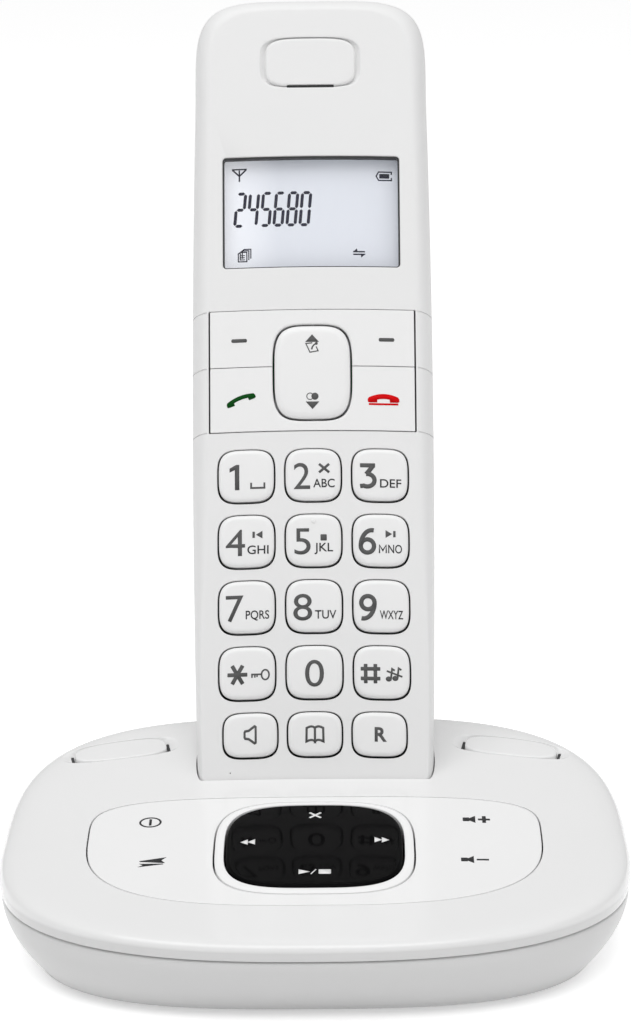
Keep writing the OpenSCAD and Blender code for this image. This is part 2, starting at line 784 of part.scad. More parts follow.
// prism of the handset foot section along the handset, wider by a margin
module foot_prism(grow, v0, v1) {
    hw = side_x(dock_sink * 3) + grow;
    section = concat(
        [for (a = front_steps) [hw - edge_inset * (1 - cos(a)), grow - (split_d + grow) * (1 - sin(a))]],
        [for (a = rear_steps) if (a > 0) [hw - rear_inset(a),
            -split_d - (handset_t + grow - split_d) * rear_k(a)]]);
    translate([0, v1, 0])
        rotate([90, 0, 0])
            linear_extrude(v1 - v0)
                polygon(concat(section, [for (p = reversed(section)) [-p[0], p[1]]]));
}

module base_top_shell() {
    color(shell_white)
        difference() {
            union() {
                difference() {
                    in_base()
                        loft(concat([for (r = outer_steps) dome_ring(r, 0, 0)],
                            [for (r = inner_steps) dome_ring(r, -base_wall, base_wall)]));
                    in_base()
                        prism(plate_outline(plate_gap), seam_z - past, seam_z + past * 8);
                    in_handset()
                        foot_prism(dock_gap, -floor_gap, cradle_up * 2);
                }
                in_base()
                    for (side = [-1, 1], b = [front_boss, rear_boss])
                        peg(base_boss_r, [side * b[0], b[1]], base_seat_z + boss_meet + boss_gap,
                            dome_z(b[0], b[1]) - base_wall / 2);
            }
            in_base() {
                for (side = [-1, 1], b = [front_boss, rear_boss])
                    peg(screw_hole_r, [side * b[0], b[1]], 0, base_seat_z + base_screw_l + 2);
                for (side = [-1, 1]) {
                    dome_plate(tab_outline(side, 0.4, tab_scoop), past, -tab_depth - 0.1);
                    for (end = [-1, 1])
                        translate([side * tab_at[0], tab_at[1], dome_z(tab_at[0], tab_at[1])])
                            rotate([0, 0, -side * tab_turn])
                                block(end * tab_w / 2 + (end < 0 ? -tab_slot : 0), end * tab_w / 2
                                    + (end < 0 ? 0 : tab_slot), -tab_h / 3, 0, -past * 2, past);
                }
            }
        }
}

module at_socket(side) {
    translate([side * socket_x, back_y(socket_x), 0])
        rotate([0, 0, -side * socket_turn])
            translate([0, -socket_in, 0])
                children();
}

module base_bottom_shell() {
    color(lower_white)
        in_base()
            difference() {
                union() {
                    loft(concat(
                        [at_z(under_ring(1, -base_wall - under_edge * 2, 0), floor_z)],
                        [for (w = reversed(under_steps)) let (z = max(under_z(w), floor_z + (1 - w) * 0.8))
                            under_ring(w, -base_wall, w == 1 ? floor_z + 0.6 : z)],
                        [for (w = under_steps) under_ring(w, 0, w == 1 ? foot_h + 0.9 : under_z(w))],
                        [under_ring(1, -under_edge, foot_h)]));
                    for (side = [-1, 1], b = [front_boss, rear_boss])
                        peg(base_boss_r + 0.4, [side * b[0], b[1]], foot_h + weld, base_seat_z + boss_meet);
                    for (side = [-1, 1], p = board_posts)
                        peg(board_post_r, [side * p[0], p[1]], floor_z - weld, board_z);
                }
                for (side = [-1, 1], b = [front_boss, rear_boss]) {
                    peg(screw_hole_r + 0.15, [side * b[0], b[1]], -past, seam_z);
                    peg(base_head_r + 0.25, [side * b[0], b[1]], -past, base_seat_z);
                }
                for (side = [-1, 1])
                    at_socket(side) {
                        block(-socket_w / 2 - 0.8, socket_w / 2 + 0.8, 0, past * 4, -past, seam_z + past);
                        block(-socket_w / 2 - 0.1, socket_w / 2 + 0.1, -socket_depth - 0.1, past, floor_z + 0.1,
                            seam_z + past);
                    }
                for (p = foot_at)
                    peg(foot_r + 0.1, p, -past, foot_h + 0.6);
            }
}

module cradle() {
    out_x = pocket_hw + cradle_wall;
    out_d = dock_gap + cradle_wall;
    color(lower_white)
        difference() {
            intersection() {
                in_handset()
                    block(-out_x, out_x, -floor_gap - cradle_floor, cradle_up, -handset_t - out_d, out_d);
                in_base()
                    loft(concat([for (r = reversed(inner_steps)) dome_ring(r, -base_wall - 0.1, base_wall + 0.1)],
                        [at_z(base_ring(0.9, -base_wall - 0.1), floor_z)]));
            }
            in_handset() {
                foot_prism(dock_gap, -floor_gap, cradle_up * 2);
                for (side = [-1, 1])
                    block(side * contact_x - spring_w / 2 - 0.1, side * contact_x + spring_w / 2 + 0.1, -past, 0,
                        -contact_d1 + 1.4, -contact_d0 - 1.4);
            }
        }
}

module charging_springs() {
    color(metal_grey)
        in_handset()
            for (side = [-1, 1]) {
                x = side * contact_x;
                block(x - spring_w / 2, x + spring_w / 2, -floor_gap - cradle_floor - 2, 0.15, -contact_d1 + 1.5,
                    -contact_d0 - 1.5);
            }
}

module base_board() {
    color(board_green)
        in_base()
            block(-board_x, board_x, board_y0, board_y1, board_z, frame_z);
}

// frame over the board with the posts that carry both gimbals
module control_frame() {
    y0 = gimbal_y0 - gimbal_bar - post_gap;
    y1 = gimbal_y1 + gimbal_bar + post_gap;
    posts = [[y0 - post_t, y0], [y1, y1 + post_t]];
    inner = [[pad_y - cross_reach - post_t / 2, pad_y - cross_reach + post_t / 2],
        [pad_y + cross_reach - post_t / 2, pad_y + cross_reach + post_t / 2]];
    color(dark_grey)
        in_base()
            difference() {
                union() {
                    block(-frame_x, frame_x, frame_y0, frame_y1, frame_z, frame_top);
                    block(-frame_neck, frame_neck, y0 - post_t, y1 + post_t, frame_z, frame_top);
                    block(-gimbal_x + 0.5, gimbal_x - 0.5, ring_y - ring_back, frame_y1, frame_z, frame_top);
                    for (p = posts)
                        block(-post_w / 2, post_w / 2, p[0], p[1], frame_top - weld, plate_axis_z + post_cap);
                    for (p = inner)
                        block(-post_w / 2, post_w / 2, p[0], p[1], frame_top - weld, pad_axis_z + post_cap);
                }
                for (p = posts)
                    along_y((pin_r + pin_fit) * flat_fit, p[0] - weld, p[1] + weld, 0, plate_axis_z, boss_sides);
                for (p = inner)
                    along_y((pin_r + pin_fit) * flat_fit, p[0] - weld, p[1] + weld, 0, pad_axis_z, boss_sides);
            }
}

module switch_domes() {
    color(rubber_grey)
        in_base()
            for (m = concat(plate_marks, pad_marks))
                peg(dome_r, m, frame_top, frame_top + dome_h);
}

module plate_gimbal() {
    out_x = gimbal_x + gimbal_bar;
    y0 = gimbal_y0 - gimbal_bar;
    y1 = gimbal_y1 + gimbal_bar;
    reach = post_gap + post_t;
    color(metal_grey)
        in_base() {
            difference() {
                block(-out_x, out_x, y0, y1, plate_axis_z - gimbal_t / 2, plate_axis_z + gimbal_t / 2);
                block(-gimbal_x, gimbal_x, gimbal_y0, gimbal_y1, plate_axis_z - past, plate_axis_z + past);
            }
            along_y(pin_r, y0 - reach, y0 + weld, 0, plate_axis_z, 32);
            along_y(pin_r, y1 - weld, y1 + reach, 0, plate_axis_z, 32);
            along_x(pin_r, -out_x - reach, -out_x + weld, plate_axis_y, plate_axis_z, 32);
            along_x(pin_r, out_x - weld, out_x + reach, plate_axis_y, plate_axis_z, 32);
        }
}

module key_plate() {
    lug_x = gimbal_x + gimbal_bar + post_gap;
    color(key_white)
        in_base()
            difference() {
                union() {
                    difference() {
                        dome_plate(plate_outline(0), 0, -plate_t);
                        prism(ring_outline(0), seam_z - past, seam_z + past * 8);
                    }
                    for (m = plate_marks)
                        peg(plunger_r, m, plunger_z, dome_z(m[0], m[1]) - plate_t / 2);
                    for (side = [-1, 1])
                        block(side > 0 ? lug_x : -lug_x - post_t, side > 0 ? lug_x + post_t : -lug_x,
                            plate_axis_y - post_w / 2, plate_axis_y + post_w / 2, plate_axis_z - post_cap,
                            dome_z(lug_x, plate_axis_y) - plate_t / 2);
                }
                for (side = [-1, 1])
                    along_x((pin_r + pin_fit) * flat_fit, side > 0 ? lug_x - weld : -lug_x - post_t - weld,
                        side > 0 ? lug_x + post_t + weld : -lug_x + weld, plate_axis_y, plate_axis_z, boss_sides);
            }
}

module pad_bezel() {
    outer = ring_outline(-plate_gap);
    color(shell_white)
        in_base()
            difference() {
                loft(concat([for (s = [0.3, 0.6, 0.85, 1]) on_dome(shrunk(outer, s), bezel_lift)],
                    [at_z(outer, frame_top)]));
                prism(pad_outline(pad_gap), frame_top - past, seam_z + past * 8);
            }
}

module pad_gimbal() {
    color(metal_grey)
        in_base() {
            along_x(pin_r, -cross_reach - post_t / 2, cross_reach + post_t / 2, pad_y, pad_axis_z, 32);
            along_y(pin_r, pad_y - cross_reach - post_t / 2, pad_y + cross_reach + post_t / 2, 0, pad_axis_z, 32);
        }
}

module message_pad() {
    color([0.03, 0.03, 0.03])
        in_base()
            difference() {
                union() {
                    dome_plate(pad_outline(0), 0.3, -pad_t);
                    for (m = pad_marks)
                        peg(plunger_r - 0.3, m, plunger_z, dome_z(m[0], m[1]) - pad_t / 2);
                    for (side = [-1, 1])
                        block(side * cross_reach - post_t / 2, side * cross_reach + post_t / 2, pad_y - post_w / 2,
                            pad_y + post_w / 2, pad_axis_z - post_cap, dome_z(0, pad_y) - pad_t / 2);
                }
                for (side = [-1, 1])
                    along_x((pin_r + pin_fit) * flat_fit, side * cross_reach - post_t, side * cross_reach + post_t,
                        pad_y, pad_axis_z, boss_sides);
            }
}

module sound_tab(side) {
    color(shell_white)
        in_base()
            dome_plate(tab_outline(side, 0, 0), 0.1, -tab_depth);
}

module sound_tab_left() {
    sound_tab(-1);
}

module sound_tab_right() {
    sound_tab(1);
}

module base_speaker() {
    color(dark_grey)
        in_base() {
            round_peg(speaker_r * 0.6, speaker_at, floor_z + 0.1, floor_z + speaker_h * 0.6);
            round_peg(speaker_r, speaker_at, floor_z + speaker_h * 0.6, floor_z + speaker_h);
        }
}

module line_socket() {
    color(dark_grey)
        in_base()
            at_socket(-1)
                difference() {
                    block(-socket_w / 2, socket_w / 2, -socket_depth, 0, socket_z, socket_z + socket_h);
                    block(-line_w / 2, line_w / 2, -line_depth, past, socket_z + line_sill,
                        socket_z + line_sill + line_h);
                }
}

module power_socket() {
    mid = socket_z + socket_h / 2;
    color(dark_grey)
        in_base()
            at_socket(1) {
                difference() {
                    block(-socket_w / 2, socket_w / 2, -socket_depth, 0, socket_z, socket_z + socket_h);
                    along_y(jack_r, -line_depth, past, 0, mid, 48);
                }
                along_y(jack_pin_r, -line_depth - 0.5, -1, 0, mid, 32);
            }
}

module base_feet() {
    color(rubber_grey)
        in_base()
            for (p = foot_at)
                round_peg(foot_r, p, 0, foot_h + 0.55);
}

module base_screws() {
    color(metal_grey)
        in_base()
            for (side = [-1, 1], b = [front_boss, rear_boss]) {
                round_peg(screw_r, [side * b[0], b[1]], base_seat_z, base_seat_z + base_screw_l);
                round_peg(base_head_r, [side * b[0], b[1]], base_seat_z - base_head_h, base_seat_z);
            }
}

handset_front_shell();
handset_rear_shell();
display_lens();
display_module();
handset_board();
key_mat();
key_bracket();
key_pivot_pins();
earpiece_pad();
earpiece_receiver();
microphone();
handsfree_speaker();
battery_tray();
battery_cells();
battery_contacts();
battery_door();
handset_contacts();
handset_screws();
key_1();
key_2();
key_3();
key_4();
key_5();
key_6();
key_7();
key_8();
key_9();
key_star();
key_0();
key_hash();
key_speaker();
key_book();
key_r();
soft_key_bar();
call_key_bar();
nav_rocker();
base_top_shell();
base_bottom_shell();
cradle();
charging_springs();
base_board();
control_frame();
switch_domes();
plate_gimbal();
key_plate();
pad_bezel();
pad_gimbal();
message_pad();
sound_tab_left();
sound_tab_right();
base_speaker();
power_socket();
line_socket();
base_feet();
base_screws();
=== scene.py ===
import json
import math

import bpy
import numpy as np
from mathutils import Matrix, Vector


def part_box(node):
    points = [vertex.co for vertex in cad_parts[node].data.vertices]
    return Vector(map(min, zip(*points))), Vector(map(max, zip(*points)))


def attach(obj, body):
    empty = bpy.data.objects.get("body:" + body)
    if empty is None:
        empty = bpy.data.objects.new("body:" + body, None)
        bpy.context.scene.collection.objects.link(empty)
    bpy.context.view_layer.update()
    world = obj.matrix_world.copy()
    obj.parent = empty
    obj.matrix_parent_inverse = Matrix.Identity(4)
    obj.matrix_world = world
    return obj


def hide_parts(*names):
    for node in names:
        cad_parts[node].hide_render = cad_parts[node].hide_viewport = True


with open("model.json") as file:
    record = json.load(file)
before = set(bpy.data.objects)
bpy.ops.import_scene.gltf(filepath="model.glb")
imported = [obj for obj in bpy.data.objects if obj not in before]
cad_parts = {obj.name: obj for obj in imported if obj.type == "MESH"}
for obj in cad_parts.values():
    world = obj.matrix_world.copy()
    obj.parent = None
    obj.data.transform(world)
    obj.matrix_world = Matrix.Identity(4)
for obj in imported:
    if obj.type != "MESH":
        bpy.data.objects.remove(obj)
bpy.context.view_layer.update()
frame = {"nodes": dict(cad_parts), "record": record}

# sizes are millimetres, as in the solids, and become metres when a mesh is made
metre = 0.001
sides = (-1, 1)  # left and right

base = {
    "width": 125.86, "depth": 102.28, "seam": 13.6, "wall": 2, "foot": 1,
    "rise": 9.8, "slope": 0.155, "curve": 0.0006, "fall": 0.0003,
    "frontPower": 2.5, "backPower": 3.4, "underPower": 3.05,
    "edgePower": 22, "frontEdge": 30, "edgeRoot": 3.3,
    "underInset": 6.9, "underBend": 1.6, "reveal": 0.4, "points": 264, "lip": 1.7, "undercut": 0.35,
}
handset = {
    "length": 174.86, "width": 50.7, "thick": 25, "wall": 1.8, "split": 7.5,
    "recline": 21, "sink": 9, "dockY": 19.2, "dockGap": 0.2,
    "sideBow": 5, "waist": 0.475, "headHeight": 22, "headPower": 4.7, "footCorner": 2.5,
    "edgeInset": 3.6, "edgeLess": 0.6, "edgeIn": (3, 8), "edgeOut": (25, 75),
    "rearRound": 9, "rearPower": 2.4, "rearInside": (2, 4.5, 7.2, 9.8, 12.4),
    "headTaper": 4.35, "taperFrom": 0.58, "rowBow": 0.43, "bowAt": 21.7,
}


# x raised to a power with its sign kept
def signedPower(x, power):
    return np.sign(x) * np.abs(x) ** power


# flat points turned by an angle in degrees, then moved
def turned(points, degrees, at):
    angle = math.radians(degrees)
    x, y = points[:, 0], points[:, 1]
    return np.stack([x * math.cos(angle) - y * math.sin(angle) + at[0],
                     x * math.sin(angle) + y * math.cos(angle) + at[1]], -1)


# closed curve |x/a|^n + |y/b|^n = 1, counter-clockwise from its +x end
def squircle(width, height, power, count, at=(0, 0)):
    t = np.linspace(0, 2 * np.pi, count, endpoint=False)
    x = at[0] + width / 2 * signedPower(np.cos(t), 2 / power)
    y = at[1] + height / 2 * signedPower(np.sin(t), 2 / power)
    return np.stack([x, y], -1)


# each side of a polygon split into equal pieces
def finer(outline, pieces):
    share = (np.arange(pieces) / pieces)[None, :, None]
    return (outline[:, None] * (1 - share) + np.roll(outline, -1, 0)[:, None] * share).reshape(-1, 2)


# rectangle whose four corners are quarter circles
def roundedRect(width, height, radius, at=(0, 0), steps=7):
    turn = np.arange(4)[:, None] * np.pi / 2
    angle = np.linspace(0, np.pi / 2, steps) + turn
    x = at[0] + np.array([[1], [-1], [-1], [1]]) * (width / 2 - radius) + radius * np.cos(angle)
    y = at[1] + np.array([[1], [1], [-1], [-1]]) * (height / 2 - radius) + radius * np.sin(angle)
    return np.stack([x.ravel(), y.ravel()], -1)


# rule for a superellipse that grows by a distance
def squircleRule(width, height, power, count, at=(0, 0)):
    return lambda grow: squircle(width + 2 * grow, height + 2 * grow, power, count, at)


# rule for a circle that grows by a distance
def circleRule(radius, count, at):
    return lambda grow: squircle(2 * (radius + grow), 2 * (radius + grow), 2, count, at)


# rule for a rounded rectangle that grows by a distance, each side split into pieces
def rectRule(width, height, corner, at, steps=7, pieces=1):
    return lambda grow: finer(
        roundedRect(width + 2 * grow, height + 2 * grow, corner + grow, at, steps), pieces)


# corner of a slot with round ends: just short of half its width, so that no side has zero length
def slotCorner(width):
    return width / 2 - 0.01


# rule for the recess of a pad or tab: longer by a scoop at both ends, wider by a narrow gap
def scoopRule(form, at=(0, 0)):
    return lambda grow: squircle(form["width"] + 2 * (form["scoop"] + grow),
                                 form["height"] + 2 * (form["gap"] + max(grow, 0)),
                                 form["power"], form["points"], at)


# height of the base top over its seam: a tilted plane with a hollow along y and a fall along x
def topRise(x, y):
    return base["rise"] + base["slope"] * y + base["curve"] * y * y - base["fall"] * x * x


# superellipse radius of a point: 1 on the seam outline, with one power in front and one behind
def ovalRadius(x, y):
    power = np.where(y < 0, base["frontPower"], base["backPower"])
    across, along = np.abs(x / (base["width"] / 2)), np.abs(y / (base["depth"] / 2))
    return (across ** power + along ** power) ** (1 / power)


# share of the rise that is left at a radius, the rounded edge of the base: the root of one less the
# radius to a power, which grows towards the front, where the edge is tighter
def edgeShare(radius, y):
    front = np.clip(-2 * y / base["depth"], 0, 1) ** 2
    power = base["edgePower"] + base["frontEdge"] * front
    return np.maximum(0, 1 - np.minimum(radius, 1) ** power) ** (1 / base["edgeRoot"])


# height of the base top: the seam and its lip, plus the rest of the rise times its edge share
def domeHeight(x, y):
    return base["seam"] + base["lip"] + edgeShare(ovalRadius(x, y), y) * (topRise(x, y) - base["lip"])


# half width of the handset at a distance from its foot: widest at the waist, less by a parabola
def sideX(v):
    return handset["width"] / 2 - handset["sideBow"] * (v / handset["length"] - handset["waist"]) ** 2


# thickness of the handset: constant, then less by a parabola towards the head
def thickAt(v):
    over = np.maximum(0, v / handset["length"] - handset["taperFrom"]) / (1 - handset["taperFrom"])
    return handset["thick"] - handset["headTaper"] * over ** 2


# depth of the handset's back behind its front face: a superellipse round-over from the sides
def rearDepth(x, v):
    inset = (1 - np.abs(x) / sideX(v)) * handset["width"] / 2
    cosine = np.clip(1 - inset / handset["rearRound"], 0, 1) ** (handset["rearPower"] / 2)
    share = (1 - cosine ** 2) ** (1 / handset["rearPower"])
    return handset["split"] + (thickAt(v) - handset["split"]) * share


# where the docked handset stands, and the shift that centres the whole telephone, read off its feet
lean = math.radians(handset["recline"])
leanSin, leanCos = math.sin(lean), math.cos(lean)
footY = handset["dockY"] - handset["sink"] * leanSin
footZ = base["seam"] + topRise(0, handset["dockY"]) - handset["sink"] * leanCos
frontOfFeet = -30
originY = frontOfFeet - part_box("base_feet")[0][1] / metre


# base millimetres to the frame: a shift along y
def onBase(points):
    return points - np.array([0, originY, 0])


# handset millimetres (across, along, out of the front) to the frame: lean back, then stand in the cradle
def onHandset(points):
    x, v, z = points[..., 0], points[..., 1], points[..., 2]
    return np.stack([x, footY - originY + v * leanSin - z * leanCos, footZ + v * leanCos + z * leanSin], -1)


# a row of the front falls by a parabola towards the sides
def rowFall(x):
    return handset["rowBow"] * (x / handset["bowAt"]) ** 2


# front features: the handset with its rows bowed
def onFront(points):
    bowed = points.copy()
    bowed[..., 1] -= rowFall(points[..., 0])
    return onHandset(bowed)


# back features: the handset turned half round, so that height counts outwards from the front plane
def onRear(points):
    return onHandset(points * np.array([-1, 1, -1]))


# faces of one closed ring: a polygon, or strips between its two mirrored halves after a straight first
# stretch
def capFaces(start, count, kind, upward):
    ring = start + np.arange(count)
    if kind == "flat":
        faces = [ring.tolist()]
    else:
        half = count // 2
        i = np.arange(kind, half - 1)
        faces = np.stack([ring[i], ring[i + 1], ring[count - i - 1], ring[count - i]], -1).tolist()
        faces += [ring[np.arange(-kind, kind + 1)].tolist(), ring[[half - 1, half, half + 1]].tolist()]
    return faces if upward else [face[::-1] for face in faces]


# skin over rings from the top of a form down to its underside: a quad between neighbours, both ends
# closed, or the last ring joined to the first
def ringSkin(rings, top="flat", bottom="flat", loop=False):
    rows, count = rings.shape[:2]
    k = np.arange(rows if loop else rows - 1)[:, None]
    i = np.arange(count)[None, :]
    below, beside = (k + 1) % rows, (i + 1) % count
    quads = np.stack([k * count + i, below * count + i, below * count + beside, k * count + beside], -1)
    faces = quads.reshape(-1, 4).tolist()
    if not loop:
        faces += capFaces(0, count, top, True)
        faces += capFaces((rows - 1) * count, count, bottom, False)
    return rings.reshape(-1, 3), faces


# several skins as one
def joined(skins):
    starts = np.cumsum([0] + [len(points) for points, _ in skins])
    faces = [[i + start for i in face] for start, (_, part) in zip(starts, skins) for face in part]
    return np.concatenate([points for points, _ in skins]), faces


# points of an outline lifted over a height rule
def lifted(outline, height, lift):
    z = height(outline[:, 0], outline[:, 1]) + lift
    return np.stack([outline[:, 0], outline[:, 1], z], -1)


# rule for a flat face at a height
def level(height):
    return lambda x, y: height + 0 * x


# how tops are filled: shares of the outline, from the middle outwards
plainFill, cutFill, slitFill = (0.06, 0.3, 0.55, 0.8), (0.1, 0.4, 0.7, 0.9), (0.1, 0.6)
capFill = (0.05, 0.25, 0.45, 0.65, 0.82, 0.93)


# cap, plate or cutter: an outline grown and lifted step by step over a height rule, its top and
# underside filled with smaller copies
def pillow(outline, profile, height, place, shares=plainFill):
    first, last = outline(profile[0][0]), outline(profile[-1][0])
    middle = first.mean(0)
    rings = [lifted(middle + (first - middle) * s, height, profile[0][1]) for s in shares]
    rings += [lifted(outline(grow), height, lift) for grow, lift in profile]
    rings += [lifted(middle + (last - middle) * s, height, profile[-1][1]) for s in shares[::-1]]
    return ringSkin(place(np.array(rings)))


# ring-shaped plate between two outlines: rounded inner edge, top, rounded outer edge, flat underside
def band(inner, outer, radius, thickness, height, place, steps=14, crown=0):
    angle = np.linspace(0, np.pi / 2, 5)
    rings = [lifted(inner(radius * (1 - np.cos(a))), height, -radius * (1 - np.sin(a))) for a in angle]
    start, end = inner(radius), outer(-radius)
    shares = np.linspace(0, 1, steps)[1:-1]
    rings += [lifted(start + (end - start) * s, height, crown * 4 * s * (1 - s)) for s in shares]
    rings += [lifted(outer(radius * (np.cos(a) - 1)), height, -radius * (1 - np.sin(a))) for a in angle[::-1]]
    rings += [lifted(outer(0), height, -thickness), lifted(inner(0), height, -thickness)]
    return ringSkin(place(np.array(rings)), loop=True)


# straight prism of a flat outline between two heights over the table
def uprightPrism(outline, high, low):
    rings = [np.column_stack([outline, np.full(len(outline), z)]) for z in (high, low)]
    return ringSkin(onBase(np.array(rings)))


# straight prism along the handset of a section that is given across and outwards
def alongPrism(section, high, low):
    rings = [np.stack([section[:, 0], np.full(len(section), v), section[:, 1]], -1) for v in (high, low)]
    return ringSkin(onHandset(np.array(rings)))


# quarter ellipse over the edge of a cap, from its top to its side
def roundEdge(across, down, steps=7):
    angle = np.linspace(0, np.pi / 2, steps)
    return [(-across * (1 - np.sin(a)), -down * (1 - np.cos(a))) for a in angle]


# cutter profile: straight over the surface, then a quarter circle that rounds the rim of the hole
def roundRim(gap, radius, above=3, steps=5):
    angle = np.linspace(np.pi / 2, 0, steps)
    over = 0.03
    rim = [(gap + radius * (1 - np.cos(a)), -radius * (1 - np.sin(a))) for a in angle]
    return [(gap + radius + over, above), (gap + radius + over, over)] + rim


# object with its place in its mesh, straight from a skin
def looseObject(name, skin):
    mesh = bpy.data.meshes.new(name)
    mesh.from_pydata((skin[0] * metre).tolist(), [], skin[1])
    thing = bpy.data.objects.new(name, mesh)
    bpy.context.scene.collection.objects.link(thing)
    return thing


# a skin cut out of a piece, applied to the piece's mesh
def carve(piece, skin):
    tool = looseObject("cutter", skin)
    step = piece.modifiers.new("cut", "BOOLEAN")
    step.operation = "DIFFERENCE"
    step.solver = "EXACT"
    step.object = tool
    bpy.context.view_layer.update()
    whole = bpy.data.meshes.new_from_object(piece.evaluated_get(bpy.context.evaluated_depsgraph_get()))
    piece.modifiers.clear()
    spent = piece.data, tool.data
    piece.data = whole
    bpy.data.objects.remove(tool)
    for mesh in spent:
        bpy.data.meshes.remove(mesh)
    whole.name = piece.name


# finish of a piece: its material, smooth faces with creases, the body that carries it and what it stands for
def finished(piece, material, body, nodes=(), slot=None, crease=35, weighted=True):
    piece.data.materials.clear()
    piece.data.materials.append(material)
    piece.data.shade_smooth()
    piece.data.set_sharp_from_angle(angle=math.radians(crease))
    if weighted:
        step = piece.modifiers.new("flat faces lead", "WEIGHTED_NORMAL")
        step.keep_sharp = True
        step.weight = 60
    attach(piece, body)
    if nodes:
        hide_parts(*nodes)


# piece straight from a skin, with its finish
def made(name, skin, material, body, *rest, **look):
    finished(looseObject(name, skin), material, body, *rest, **look)


# node group: a slow mottle in the colour, a fine grain in the roughness and in the height
def mouldedGrain():
    tree = bpy.data.node_groups.new("mouldedGrain", "ShaderNodeTree")
    socketNames = {"INPUT": "Colour Mottle Cloud Fine Low High", "OUTPUT": "Colour Roughness Height"}
    for side, names in socketNames.items():
        for name in names.split():
            kind = "NodeSocketColor" if name == "Colour" else "NodeSocketFloat"
            tree.interface.new_socket(name=name, in_out=side, socket_type=kind)
    node, link = tree.nodes.new, tree.links.new
    into, out = node("NodeGroupInput"), node("NodeGroupOutput")
    place = node("ShaderNodeTexCoord")
    noise = {}
    for name, detail in (("Cloud", 3), ("Fine", 2)):
        noise[name] = node("ShaderNodeTexNoise")
        noise[name].inputs["Detail"].default_value = detail
        link(place.outputs["Object"], noise[name].inputs["Vector"])
        link(into.outputs[name], noise[name].inputs["Scale"])
    cloud, grain = noise["Cloud"].outputs["Fac"], noise["Fine"].outputs["Fac"]
    centred, swing = node("ShaderNodeMath"), node("ShaderNodeMath")
    centred.operation, swing.operation = "SUBTRACT", "MULTIPLY_ADD"
    centred.inputs[1].default_value = 0.5
    swing.inputs[2].default_value = 1
    tint, gloss = node("ShaderNodeVectorMath"), node("ShaderNodeMapRange")
    tint.operation = "SCALE"
    for source, target in (
            (cloud, centred.inputs[0]), (centred.outputs[0], swing.inputs[0]),
            (into.outputs["Mottle"], swing.inputs[1]), (into.outputs["Colour"], tint.inputs[0]),
            (swing.outputs[0], tint.inputs["Scale"]), (grain, gloss.inputs["Value"]),
            (into.outputs["Low"], gloss.inputs["To Min"]), (into.outputs["High"], gloss.inputs["To Max"]),
            (tint.outputs[0], out.inputs["Colour"]), (gloss.outputs[0], out.inputs["Roughness"]),
            (grain, out.inputs["Height"])):
        link(source, target)
    return tree


grainTree = mouldedGrain()


# material whose colour, roughness and relief come from the grain group
def grained(name, colour, low, high, mottle=0.03, cloud=40, fine=2500, relief=0.00001, strength=0.25,
            coat=0, metal=0, specular=0.5):
    material = bpy.data.materials.new(name)
    material.use_nodes = True
    nodes, link = material.node_tree.nodes, material.node_tree.links.new
    shader = nodes["Principled BSDF"]
    grain = nodes.new("ShaderNodeGroup")
    grain.node_tree = grainTree
    for socket, value in (("Colour", (*colour, 1)), ("Mottle", mottle), ("Cloud", cloud), ("Fine", fine),
                          ("Low", low), ("High", high)):
        grain.inputs[socket].default_value = value
    bump = nodes.new("ShaderNodeBump")
    bump.inputs["Strength"].default_value = strength
    bump.inputs["Distance"].default_value = relief
    link(grain.outputs["Colour"], shader.inputs["Base Color"])
    link(grain.outputs["Roughness"], shader.inputs["Roughness"])
    link(grain.outputs["Height"], bump.inputs["Height"])
    link(bump.outputs["Normal"], shader.inputs["Normal"])
    shader.inputs["Coat Weight"].default_value = coat
    shader.inputs["Metallic"].default_value = metal
    shader.inputs["Specular IOR Level"].default_value = specular
    return material


# 0 to 1 along one axis of a piece between two places, in nodes
def axisRamp(material, axis, low, high):
    nodes, link = material.node_tree.nodes, material.node_tree.links.new
    place, split = nodes.new("ShaderNodeTexCoord"), nodes.new("ShaderNodeSeparateXYZ")
    ramp = nodes.new("ShaderNodeMapRange")
    ramp.inputs["From Min"].default_value = low
    ramp.inputs["From Max"].default_value = high
    link(place.outputs["Object"], split.inputs[0])
    link(split.outputs[axis], ramp.inputs["Value"])
    return ramp


polished = {"low": 0.10, "high": 0.16, "mottle": 0.02, "fine": 900, "relief": 0.000004}
# painted shade on the upright lip: the height over which it fades in and the share of colour left below
paintedLipShade = {"fade": 0.0006, "share": 0.86}
# painted light on the display: where its glow ramps across, the glow's colour at the left edge and over the
# field, and its strength
paintedDisplayGlow = {"from": -0.018, "to": -0.007, "edge": (2.1, 2.1, 2.15, 1), "field": (0.64, 0.69, 0.80, 1),
               "strength": 0.15}


# white of the base top with painted shade: the grain's colour is scaled down below the rounded edge, where the
# upright lip stands in shade
def baseWithPaintedLipShade():
    material = grained("baseWhitePaintedLipShade", (0.84,) * 3, **polished)
    nodes, link = material.node_tree.nodes, material.node_tree.links.new
    lipTop = (base["seam"] + base["lip"]) * metre
    ramp = axisRamp(material, "Z", lipTop, lipTop + paintedLipShade["fade"])
    ramp.inputs["To Min"].default_value = paintedLipShade["share"]
    tint = nodes.new("ShaderNodeVectorMath")
    tint.operation = "SCALE"
    link(next(n for n in nodes if n.type == "GROUP").outputs["Colour"], tint.inputs[0])
    link(ramp.outputs[0], tint.inputs["Scale"])
    link(tint.outputs[0], nodes["Principled BSDF"].inputs["Base Color"])
    return material


# clear window: a thin polished sheet that lets nearly all light through
def clearWindow():
    material = grained("windowClear", (0.9, 0.92, 0.95), 0.02, 0.05, relief=0.000001)
    material.node_tree.nodes["Principled BSDF"].inputs["Alpha"].default_value = 0.03
    return material
